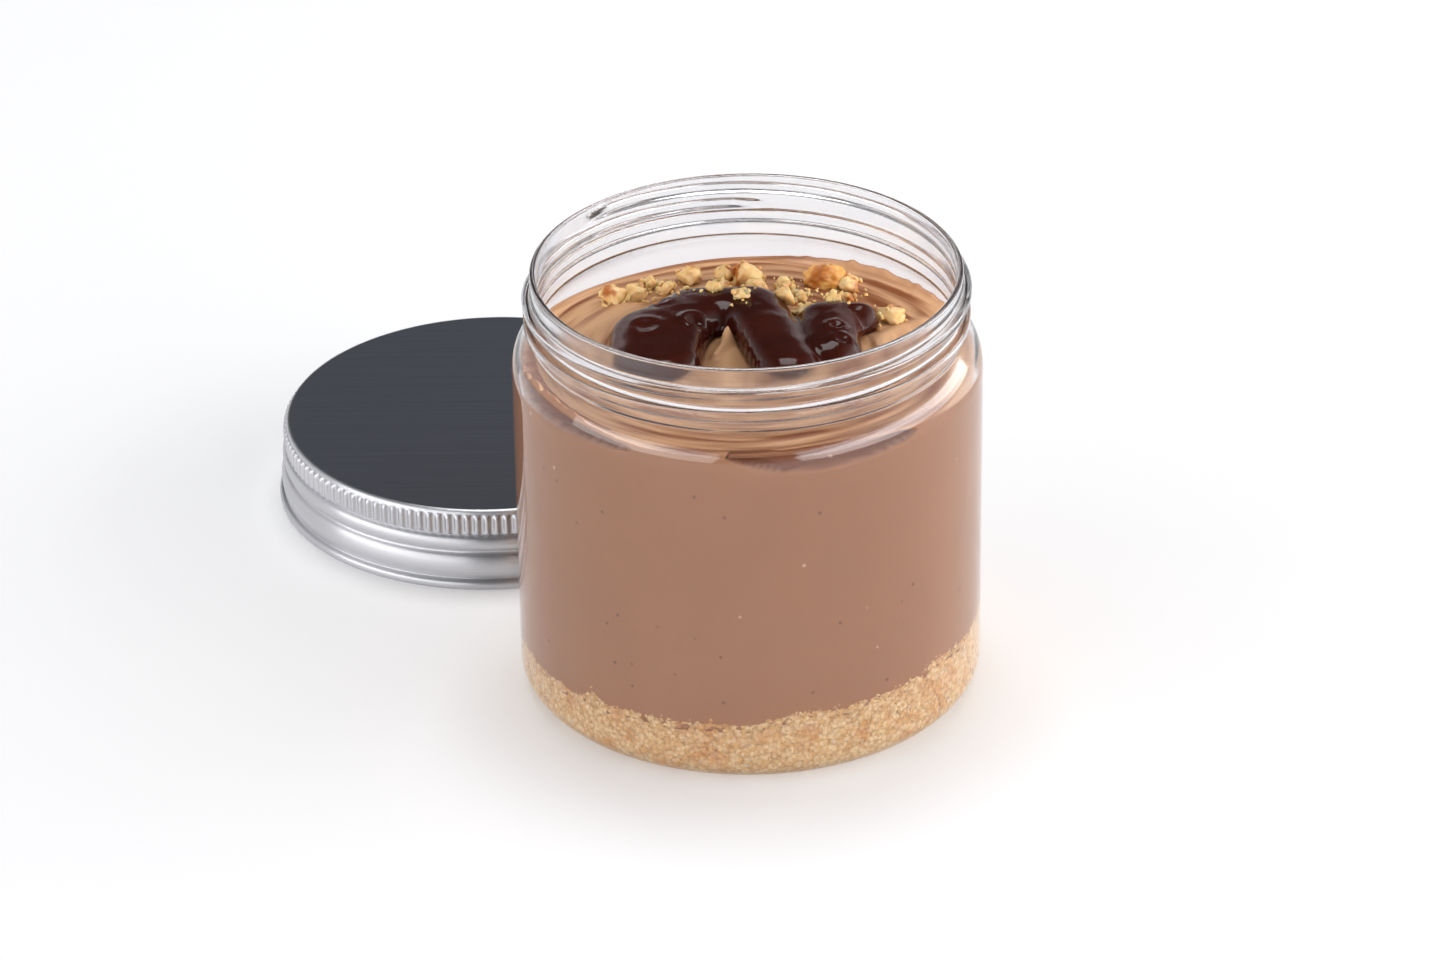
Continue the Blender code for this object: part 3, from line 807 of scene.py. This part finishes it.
cheesecake, tree, shader = start_material("smooth_hazelnut_cheesecake", {
    "Roughness": 0.42,
    "Specular IOR Level": 0.35,
})
place = add_node(tree, "TexCoord").outputs["Object"]
cloud = add_node(tree, "TexNoise", inputs=sized(place, 12.0))
top_and_pocket_mask = add_node(tree, "Attribute", {"attribute_name": "browner_top_and_pocket_shade"})
drag = add_node(tree, "Attribute", {"attribute_name": "brown_tone"})
body = add_node(tree, "Mix", COLOURS, {
    MIX_FACTOR: cloud.outputs["Fac"], MIX_A: "#996B4C", MIX_B: "#A37351"})
# the brown end is painted shade in the air pockets, and partly painted shade on the open top
spooned = add_node(tree, "Mix", COLOURS, {
    MIX_FACTOR: drag.outputs["Fac"], MIX_A: "#CD9E74", MIX_B: "#7E441E"})
with_top_and_pocket_shade = add_node(tree, "Mix", COLOURS, {
    MIX_FACTOR: top_and_pocket_mask.outputs["Fac"],
    MIX_A: body.outputs[MIX_RESULT],
    MIX_B: spooned.outputs[MIX_RESULT],
})
dark_cells = add_node(tree, "TexVoronoi", inputs=sized(place, DARK_SPOT_MM))
pale_cells = add_node(tree, "TexVoronoi", inputs=sized(place, PALE_SPOT_MM))
# dark spots: partly dark specks of nut, partly painted shade inside the pinholes
speck_and_pinhole_shade = add_node(tree, "MapRange", SOFT, {
    "Value": dark_cells.outputs["Distance"], "From Min": 0.10, "From Max": 0.05, "To Max": 0.7})
specked = add_node(tree, "Mix", COLOURS, {
    MIX_FACTOR: speck_and_pinhole_shade.outputs[0], MIX_A: with_top_and_pocket_shade.outputs[MIX_RESULT], MIX_B: "#6B4632"})
flecked = layer(tree, specked.outputs[MIX_RESULT], "#E8CDB4",
                pale_cells.outputs["Distance"], 0.07, 0.04, 0.5)
relief = add_node(tree, "Bump", {"invert": True}, {
    "Height": speck_and_pinhole_shade.outputs[0], "Strength": 0.4, "Distance": 0.2 * MM})
set_inputs(tree, shader, {"Base Color": flecked, "Normal": relief.outputs["Normal"]})


def cream_tones(rings):
    """Two numbers at each point: where the top's browner tone and the pockets' painted shade go, and how
    brown it is there.
    """
    rings = np.array(rings)
    angle = np.arctan2(rings[..., 1], rings[..., 0])
    on_top = (np.arange(len(rings)) > len(rings) - CREAM_TOP_ROWS)[:, None] * np.ones_like(angle)
    # painted shade: the air pockets get the full brown
    pocket_shade = smooth_step(pocket_depth(angle, rings[..., 2]) / 0.5) * (1.0 - on_top)
    wiped = WIPE_PALENESS * wipe_share(angle, WIPES[0])
    wiped = wiped * smooth_step((np.hypot(rings[..., 0], rings[..., 1]) - WIPE_INSIDE) / 2.0)
    brown = np.where(on_top > 0.0, streak_tone(rings[..., 0], rings[..., 1]) * (1.0 - wiped), 1.0)
    middles = (0.0, 1.0)  # the middle point underneath and the one on top
    return np.append(np.maximum(on_top, pocket_shade), middles), np.append(brown, middles)


rings = cream_rings()
filling = ring_piece("cheesecake", rings, (0.0, 0.0, float(crumb_top(0.0, 0.0)) - CREAM_OVERLAP),
                     (0.0, 0.0, float(cream_level(0.0, 0.0))), cheesecake)
for name, values in zip(("browner_top_and_pocket_shade", "brown_tone"), cream_tones(rings)):
    filling.data.attributes.new(name, "FLOAT", "POINT").data.foreach_set("value", values)
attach(filling, "root")
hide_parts("cheesecake_filling")
print("filling faces:", len(filling.data.polygons))

# %% [markdown]
# ## Chocolate sauce
#
# A thick chocolate sauce was spooned on in several strokes, so it lies in rounded lobes with
# creases between them and an edge that bulges over the cream.  Metaballs would blend by
# themselves, but would not keep the outline.  So a plan grid is fitted to the outline, lifted
# into domes by the distance from the edge, and smoothed by one subdivision.

# %% Sauce grid
SAUCE_DEPTH = 3.9
SAUCE_EDGE = 4.6
SAUCE_RIM = 0.7
SAUCE_LIFT = 0.55
SAUCE_CELL = 0.62
SAUCE_PASSES = 10
SAUCE_TUCK = 0.45  # how far the underside is drawn in, so that the edge bulges
CREASE_BLEND = 0.3
CREASE_SHARE = 0.75  # how much of a crease's full depth shows
SQUARE = ((0, 0), (1, 0), (1, 1), (0, 1))


def to_level(x, y, level):
    """Move a point straight out, or in, to where the sauce's outline distance has this value."""
    step = 0.05
    for _ in range(4):
        here = sauce_outline(x, y)
        slope_x = (sauce_outline(x + step, y) - here) / step
        slope_y = (sauce_outline(x, y + step) - here) / step
        move = (here - level) / (slope_x ** 2 + slope_y ** 2)
        x, y = x - move * slope_x, y - move * slope_y
    return x, y


def sauce_cells():
    reach = int(CONTENT_RADIUS / SAUCE_CELL)
    span = range(-reach, reach)
    return {(i, j) for i in span for j in span
            if sauce_outline((i + 0.5) * SAUCE_CELL, (j + 0.5) * SAUCE_CELL) < 0.0}


def open_sides(cells):
    """Edges of the squares that have no square beyond them."""
    for i, j in sorted(cells):
        square = [(i + a, j + b) for a, b in SQUARE]
        for side, beyond in enumerate(((i, j - 1), (i + 1, j), (i, j + 1), (i - 1, j))):
            if beyond not in cells:
                yield square[side], square[(side + 1) % len(square)]


def relaxed_grid(cells, rim):
    """Plan place of each grid point, the rim on the outline and the rest evenly spread."""
    corners = sorted({(i + a, j + b) for i, j in cells for a, b in SQUARE})
    order = {point: index for index, point in enumerate(corners)}
    beside = []
    for i, j in corners:
        others = ((i - 1, j), (i + 1, j), (i, j - 1), (i, j + 1))
        beside.append([order[other] for other in others if other in order])
    rim_beside = {}
    for first, second in rim:
        rim_beside.setdefault(order[first], []).append(order[second])
        rim_beside.setdefault(order[second], []).append(order[first])
    for index, others in rim_beside.items():
        beside[index] = others
    places = np.array(corners, float) * SAUCE_CELL
    on_rim = sorted(rim_beside)
    for _ in range(SAUCE_PASSES):
        places = np.array([places[others].mean(axis=0) for others in beside])
        places[on_rim] = np.stack(to_level(places[on_rim, 0], places[on_rim, 1], 0.0), axis=-1)
    return order, places, on_rim


print("sauce cells:", len(sauce_cells()))

# %% [markdown]
# The spoon left its mark in the sauce: a small ring where a drop fell, dimples, and faint
# threads along each stroke.  They are shallow, but a glossy surface shows them clearly.

# %% Sauce relief
DIMPLES = (
    # middle in mm seen from above, ring radius, ring height and pit depth in mm
    (-8.0, 3.2, 1.9, 0.45, 0.80),
    (-3.6, 3.6, 1.0, 0.25, 0.40),
    (13.8, 0.2, 1.3, 0.35, 0.50),
    (17.4, 5.6, 1.1, 0.30, 0.40),
    (-13.5, 10.2, 1.6, 0.25, 0.45),
    (-15.5, 1.0, 2.4, 0.20, 0.30),
    (14.6, -4.0, 1.6, 0.25, 0.45),
)
DRIP_WIDTH = 1.1  # width, length and depth of the faint threads along each stroke
DRIP_LENGTH = 6.0
DRIP_DEPTH = 0.06
LUMP_WIDTH = 2.2
LUMP_DEPTH = 0.10


def sauce_surface(x, y):
    """Height of the sauce: a dome over each lobe, with a crease where two lobes meet."""
    soft = -sauce_outline(x, y)
    sharp = -sauce_outline(x, y, CREASE_BLEND)
    inside = np.clip((soft + CREASE_SHARE * (sharp - soft)) / SAUCE_EDGE, 0.0, 1.0)
    dome = np.sqrt(1.0 - (1.0 - inside) ** 2)
    return cream_level(x, y) + SAUCE_LIFT + SAUCE_RIM + (SAUCE_DEPTH - SAUCE_RIM) * dome


def sauce_marks(x, y):
    marks = np.zeros_like(x)
    for middle_x, middle_y, ring, rise, pit in DIMPLES:
        distance = np.hypot(x - middle_x, y - middle_y)
        marks += rise * bump(distance - ring, 0.55 * ring) - pit * bump(distance, ring)
    drips = np.stack((x / DRIP_WIDTH, y / DRIP_LENGTH, np.zeros_like(x)), axis=-1)
    lumps = np.stack((x / LUMP_WIDTH, y / LUMP_WIDTH, np.ones_like(x)), axis=-1)
    return marks + DRIP_DEPTH * noise_at(drips, 1.0) + LUMP_DEPTH * noise_at(lumps, 1.0)


def make_sauce(material):
    cells = sauce_cells()
    rim = list(open_sides(cells))
    order, places, on_rim = relaxed_grid(cells, rim)
    x, y = places[:, 0], places[:, 1]
    top = sauce_surface(x, y)
    inside = np.clip(-sauce_outline(x, y) / SAUCE_EDGE, 0.0, 1.0)
    top += sauce_marks(x, y) * smooth_step(inside * 2.5)
    under = places.copy()
    under[on_rim] = np.stack(to_level(x[on_rim], y[on_rim], -SAUCE_TUCK), axis=-1)
    low = cream_level(under[:, 0], under[:, 1]) - GAP
    points = np.concatenate((np.column_stack((x, y, top)), np.column_stack((under, low))))
    count = len(places)
    faces = []
    for i, j in sorted(cells):
        square = [order[(i + a, j + b)] for a, b in SQUARE]
        faces.append(square)
        faces.append([count + index for index in reversed(square)])
    faces += [(count + order[a], count + order[b], order[b], order[a]) for a, b in rim]
    piece = add_piece("chocolate_sauce_pool", points, faces, material)
    rounded = piece.modifiers.new("rounded", "SUBSURF")
    rounded.levels = rounded.render_levels = 1
    return piece


print("the first drop's ring is", DIMPLES[0][2], "mm in radius and", DIMPLES[0][3], "mm high")

# %% [markdown]
# Chocolate sauce is cocoa, sugar and fat: nearly black where it is deep, with a red-brown tint
# and a wet gloss.  The gloss is an even low roughness, a little rougher in patches where a skin
# has begun to set.

# %% Sauce material and piece
chocolate, tree, shader = start_material("glossy_chocolate_sauce", {
    "IOR": 1.40,
    "Specular IOR Level": 0.3,
})
place = add_node(tree, "TexCoord").outputs["Object"]
cloud = add_node(tree, "TexNoise", inputs=sized(place, 7.0))
brown = add_node(tree, "Mix", COLOURS, {
    MIX_FACTOR: cloud.outputs["Fac"], MIX_A: "#270D08", MIX_B: "#42170D"})
skin = add_node(tree, "MapRange", inputs={
    "Value": cloud.outputs["Fac"], "From Min": 0.3, "From Max": 0.7,
    "To Min": 0.07, "To Max": 0.15})
set_inputs(tree, shader, {"Base Color": brown.outputs[MIX_RESULT], "Roughness": skin.outputs[0]})

sauce = make_sauce(chocolate)
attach(sauce, "root")
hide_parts("chocolate_sauce")
print("sauce faces:", len(sauce.data.polygons))

# %% [markdown]
# ## Chopped hazelnuts
#
# Toasted hazelnuts were chopped by hand over the jar, so there is one half kernel, nineteen
# chunks, small grains that cling to them and a dust of fine bits round about.  A chunk breaks
# into flat faces with soft corners, so each is a fine sphere cut flat on several sides and
# roughened, and all are joined in one mesh.

# %% Nut pieces
NUTS_ON_CREAM = (
    # place seen from above, then length, width and height, all in mm
    (-20.6, 19.6, 4.8, 4.0, 3.8), (-17.6, 20.8, 4.0, 3.4, 3.4), (-15.2, 24.6, 3.0, 2.4, 2.4),
    (-12.8, 22.8, 3.4, 2.8, 2.4), (-8.8, 26.6, 4.8, 3.8, 3.6), (-3.0, 26.4, 3.8, 3.2, 3.2),
    (0.4, 25.0, 5.6, 4.8, 5.0), (-3.6, 22.4, 3.2, 2.8, 2.6), (1.8, 21.2, 4.2, 3.6, 3.2),
    (6.2, 22.6, 3.2, 2.6, 2.2), (12.6, 24.6, 7.2, 5.4, 5.0), (16.4, 23.4, 4.2, 3.6, 3.4),
    (22.4, 11.2, 4.8, 3.6, 3.4), (16.0, 18.4, 2.6, 2.2, 1.8), (8.6, 18.8, 2.8, 2.4, 2.0),
)
NUTS_ON_SAUCE = (
    (6.0, 12.6, 4.2, 3.4, 3.2), (8.8, 10.4, 3.2, 2.6, 2.4), (-0.6, 10.2, 3.0, 2.4, 2.0),
    (-5.0, 13.2, 2.6, 2.2, 1.8), (13.6, 10.4, 2.8, 2.2, 2.0),
)
HALF_KERNEL = 10  # which of the pieces on the cream is the half kernel
NUT_SUNK = 0.3  # share of a piece's height that is sunk into the food
NUT_CUTS = 7
HALF_CUTS = 2
HALF_TURN = 0.3  # most that the half kernel is turned, in radians
CHUNK_BREAKS = (0.26, 0.44)
GRAIN_BREAKS = (0.16, 0.36)
NUT_ROUGH = ((0.30, 0.16), (0.13, 0.10), (0.06, 0.04))  # width and depth, as shares of a piece


def nut_chunk(nut, surface, chance, sphere, cuts, most_turn=math.pi):
    """One piece of this place and size, sunk a little into the food."""
    x, y, length, width, height = nut
    lump = turned(chopped(sphere, chance, cuts, *CHUNK_BREAKS), chance)
    shift = chance.uniform(0.0, 9.0)
    lump *= 1.0 + sum(depth * noise_at(lump + shift, size) for size, depth in NUT_ROUGH)[:, None]
    lump -= 0.5 * (lump.max(axis=0) + lump.min(axis=0))
    lump /= np.ptp(lump, axis=0)
    turn = chance.uniform(0.0, most_turn)
    across, along = lump[:, 0] * length, lump[:, 1] * width
    base = float(surface(x, y))
    return np.column_stack((
        across * math.cos(turn) - along * math.sin(turn) + x,
        across * math.sin(turn) + along * math.cos(turn) + y,
        base + (lump[:, 2] + 0.5 - NUT_SUNK) * height,
    ))


def nut_pieces():
    chance = random.Random(11)
    sphere, faces = unit_sphere(4)
    lumps = [nut_chunk(nut, cream_level, chance, sphere, NUT_CUTS)
             for index, nut in enumerate(NUTS_ON_CREAM) if index != HALF_KERNEL]
    lumps += [nut_chunk(nut, sauce_surface, chance, sphere, NUT_CUTS) for nut in NUTS_ON_SAUCE]
    return lumps, faces


print("nut pieces:", len(NUTS_ON_CREAM) + len(NUTS_ON_SAUCE))

# %% [markdown]
# The flesh of a toasted hazelnut is pale gold and slightly waxy, deeper gold near the outside.
# Light goes a little way in, which softens the small pieces, so subsurface scattering is part
# of it.  The half kernel has more of the orange-brown toasted colour.

# %% Hazelnut materials and pieces
def hazelnut_material(name, pale, gold, toasted, amount):
    """Nut flesh that runs from pale through gold to toasted."""
    material, tree, shader = start_material(name, {
        "Roughness": 0.38,
        "Subsurface Weight": 0.6,
        "Subsurface Radius": (1.0, 0.6, 0.25),
        "Subsurface Scale": 1.0 * MM,
    })
    place = add_node(tree, "TexCoord").outputs["Object"]
    grain = add_node(tree, "TexNoise", inputs={**sized(place, 1.6), "Detail": 3.0})
    patch = add_node(tree, "TexNoise", inputs=sized(place, 3.4))
    flesh = add_node(tree, "Mix", COLOURS, {
        MIX_FACTOR: grain.outputs["Fac"], MIX_A: pale, MIX_B: gold})
    colour = layer(tree, flesh.outputs[MIX_RESULT], toasted, patch.outputs["Fac"],
                   0.75 - 0.4 * amount, 0.85 - 0.3 * amount)
    relief = add_node(tree, "Bump", inputs={
        "Height": grain.outputs["Fac"], "Strength": 0.5, "Distance": 0.15 * MM})
    set_inputs(tree, shader, {"Base Color": colour, "Normal": relief.outputs["Normal"]})
    return material


hazelnut = hazelnut_material("chopped_toasted_hazelnut", "#FADFA8", "#D99B45", "#B86C24", 0.5)
lumps, faces = nut_pieces()
nuts = join_lumps("hazelnut_pieces", lumps, faces, hazelnut)
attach(nuts, "root")
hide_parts("cheesecake_filling", "chocolate_sauce")

roasted = hazelnut_material("toasted_hazelnut_skin_side", "#F2C379", "#DB9233", "#B5681B", 0.7)
chance = random.Random(5)
sphere, faces = unit_sphere(5)
half = nut_chunk(NUTS_ON_CREAM[HALF_KERNEL], cream_level, chance, sphere, HALF_CUTS, HALF_TURN)
half_kernel = join_lumps("hazelnut_half", [half], faces, roasted)
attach(half_kernel, "root")
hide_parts("cheesecake_filling")
print("nut faces:", len(nuts.data.polygons), "and", len(half_kernel.data.polygons))

# %% Fine nut bits
CLINGING = 9  # small grains that cling to each piece
CLINGING_SIZES = (0.6, 1.5)  # smallest and largest
CLINGING_SIDE = 0.46  # how far from a piece's middle they sit, as a share of its size
CLINGING_TOP = 0.40
FINE_BITS = 260
FINE_SIZES = (0.35, 1.0)
FINE_SPREAD = 2.6
FINE_LIMIT = CONTENT_RADIUS - 3.0
FINE_RISE = 0.15  # how far a bit's middle stands over the food, as a share of its size
BARE_SAUCE = 0.6  # share of the bits that slid off the sauce


def food_level(x, y):
    """Height of the food here, and whether it is the sauce."""
    on_sauce = float(sauce_outline(x, y)) < 0.0
    return float(sauce_surface(x, y) if on_sauce else cream_level(x, y)), on_sauce


def nut_grain(chance, sphere):
    """A small broken grain, 1 across at most."""
    return turned(chopped(sphere, chance, NUT_CUTS, *GRAIN_BREAKS), chance)


def fine_bits():
    chance = random.Random(23)
    sphere, faces = unit_sphere(2)
    lumps = []
    for x, y, length, width, height in NUTS_ON_CREAM + NUTS_ON_SAUCE:
        base = food_level(x, y)[0]
        for _ in range(CLINGING):
            reach = (CLINGING_SIDE * length, CLINGING_SIDE * width, CLINGING_TOP * height)
            away = random_direction(chance) * reach
            middle = np.array((x, y, base + (0.5 - NUT_SUNK) * height)) + away
            lumps.append(nut_grain(chance, sphere) * chance.uniform(*CLINGING_SIZES) + middle)
    for _ in range(FINE_BITS):
        near = chance.choice(NUTS_ON_CREAM + NUTS_ON_SAUCE)
        x = near[0] + chance.gauss(0.0, 1.0) * FINE_SPREAD
        y = near[1] + chance.gauss(0.0, 0.8) * FINE_SPREAD
        if math.hypot(x, y) > FINE_LIMIT:
            continue
        height, on_sauce = food_level(x, y)
        if on_sauce and chance.random() < BARE_SAUCE:
            continue
        size = chance.uniform(*FINE_SIZES)
        lump = nut_grain(chance, sphere) * size
        lumps.append(lump + np.array((x, y, height + FINE_RISE * size)))
    return lumps, faces


lumps, faces = fine_bits()
bits = join_lumps("hazelnut_fine_bits", lumps, faces, hazelnut)
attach(bits, "root")
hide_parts("cheesecake_filling", "chocolate_sauce")
print("fine bits:", len(lumps))

# %% [markdown]
# ## Lid: spun aluminium
#
# The lid is pressed and spun from thin aluminium sheet.  Its top is a flat disc with a dark
# brushed finish, its edge is milled with 136 upright ridges for grip, and below it run two
# rolled bands and a curled rim.  A cylinder with a normal map would lose the ridges at the
# outline, so they are part of the rings.

# %% Lid shape
LID_RADIUS = 36.0
LID_HEIGHT = 14.0
LID_CLEARANCE = 1.1
LID_DIRECTION = Vector((-42.4, 60.15, 0.0)).normalized()
KNURLS = 136  # the upright ridges
LID_COLUMNS = 8 * KNURLS
KNURL_OUTER = 34.95
KNURL_INNER = 34.45
KNURL_BOTTOM = 9.6
KNURL_TOP = 13.3
KNURL_END = 0.5  # height over which a ridge fades out
KNURL_ROWS = 11
TOP_CORNER = 0.65  # radius of the rounding round the top
TOP_CORNER_ROWS = 8
TOP_CORNER_AT = (33.75, 13.35)
TOP_RADII = (33.4, 20.0)
# radius and height along the lid's outline, down the inside and then up the outside
LID_INSIDE = ((33.7, 13.5), (33.9, 6.6), (34.6, 5.7), (34.8, 0.0))
LID_RIM = ((35.6, 0.0), (36.0, 0.4), (36.0, 1.2), (35.7, 1.6), (35.1, 1.85))
LID_BANDS = ((35.3, 2.2), (35.6, 3.6), (35.5, 4.8), (35.1, 5.9), (34.5, 6.3),
             (34.5, 6.8), (35.0, 7.1), (35.3, 8.0), (35.0, 9.1), (34.3, 9.5))


def eased(points):
    """The outline with its corners cut off twice, which keeps it inside the straight one."""
    points = np.array(points, float)
    for _ in range(2):
        near, far = points[:-1], points[1:]
        cut = np.stack((0.75 * near + 0.25 * far, 0.25 * near + 0.75 * far), axis=1)
        points = np.concatenate((points[:1], cut.reshape(-1, 2), points[-1:]))
    return points


def lid_rings():
    angle = circle_of(LID_COLUMNS)
    ridge = smooth_step(0.5 + 1.1 * np.cos(KNURLS * angle))
    rows = [*LID_INSIDE, *eased(LID_RIM + LID_BANDS)]
    for height in np.linspace(KNURL_BOTTOM, KNURL_TOP, KNURL_ROWS):
        ends = smooth_step(min(height - KNURL_BOTTOM, KNURL_TOP - height) / KNURL_END)
        rows.append((KNURL_INNER + (KNURL_OUTER - KNURL_INNER) * ridge * ends, height))
    for turn in np.linspace(0.0, 0.5 * math.pi, TOP_CORNER_ROWS):
        rows.append((TOP_CORNER_AT[0] + TOP_CORNER * math.cos(turn),
                     TOP_CORNER_AT[1] + TOP_CORNER * math.sin(turn)))
    rows += [(radius, LID_HEIGHT) for radius in TOP_RADII]
    return [ring_points(angle, *row) for row in rows]


print("lid outline has", len(eased(LID_RIM + LID_BANDS)), "points")

# %% [markdown]
# Plain aluminium is a bright, nearly white metal.  Spinning leaves very fine lines round the
# side, which spread a highlight up and down but not along, so the metal is anisotropic and the
# bands shine in soft streaks.  The top is brushed straight and is given a dark grey base colour.
# Real lines are a few hundredths of a millimetre wide, too fine to show here, so those that are
# drawn are about 0.3 mm wide.

# %% Lid materials and piece
LINE_MM = 0.3
LINE_LENGTH_MM = 30.0
ROUGHNESS_SWING = 0.03
SPUN_SPREAD = 0.85  # how much more a highlight spreads across the lines than along them


def brushed_metal(name, colour, shade, metallic, roughness, stretch, spread=0.0):
    """Metal with fine lines.  Stretch is the texture scale each way, spread the anisotropy."""
    material, tree, shader = start_material(name, {
        "Metallic": metallic,
        "Anisotropic": spread,
        "Anisotropic Rotation": 0.25,
    })
    if spread:
        round_axis = add_node(tree, "Tangent", {"direction_type": "RADIAL", "axis": "Z"})
        set_inputs(tree, shader, {"Tangent": round_axis.outputs[0]})
    place = add_node(tree, "TexCoord").outputs["Object"]
    scaled = add_node(tree, "Mapping", inputs={"Vector": place, "Scale": stretch})
    lines = add_node(tree, "TexNoise", inputs={
        "Vector": scaled.outputs["Vector"], "Scale": 1.0, "Detail": 3.0})
    tint = add_node(tree, "Mix", COLOURS, {
        MIX_FACTOR: lines.outputs["Fac"], MIX_A: colour, MIX_B: shade})
    rough = add_node(tree, "MapRange", inputs={
        "Value": lines.outputs["Fac"], "From Min": 0.3, "From Max": 0.7,
        "To Min": roughness - ROUGHNESS_SWING, "To Max": roughness + ROUGHNESS_SWING})
    relief = add_node(tree, "Bump", inputs={
        "Height": lines.outputs["Fac"], "Strength": 0.03, "Distance": 0.05 * MM})
    set_inputs(tree, shader, {
        "Base Color": tint.outputs[MIX_RESULT],
        "Roughness": rough.outputs[0],
        "Normal": relief.outputs["Normal"],
    })
    return material


long_way, fine_way = per_metre(LINE_LENGTH_MM), per_metre(LINE_MM)
spun = brushed_metal("spun_aluminium", "#D2D2D5", "#C6C6CA", 1.0, 0.36,
                     (long_way, long_way, fine_way), SPUN_SPREAD)
# the top is given a dark grey base colour
slate = brushed_metal("dark_brushed_aluminium", "#54575F", "#43464D", 0.3, 0.42,
                      (long_way, fine_way, long_way))

lid = ring_piece("milled_lid", lid_rings(), (0.0, 0.0, LID_INSIDE[0][1]), (0.0, 0.0, LID_HEIGHT), spun)
lid.data.materials.append(slate)
flat_top = (LID_HEIGHT - 0.001) * MM
for face in lid.data.polygons:
    if face.center.z > flat_top:
        face.material_index = 1
lid.location = LID_DIRECTION * (JAR_RADIUS + LID_CLEARANCE + LID_RADIUS) * MM
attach(lid, "root")
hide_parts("lid")
print("lid faces:", len(lid.data.polygons))
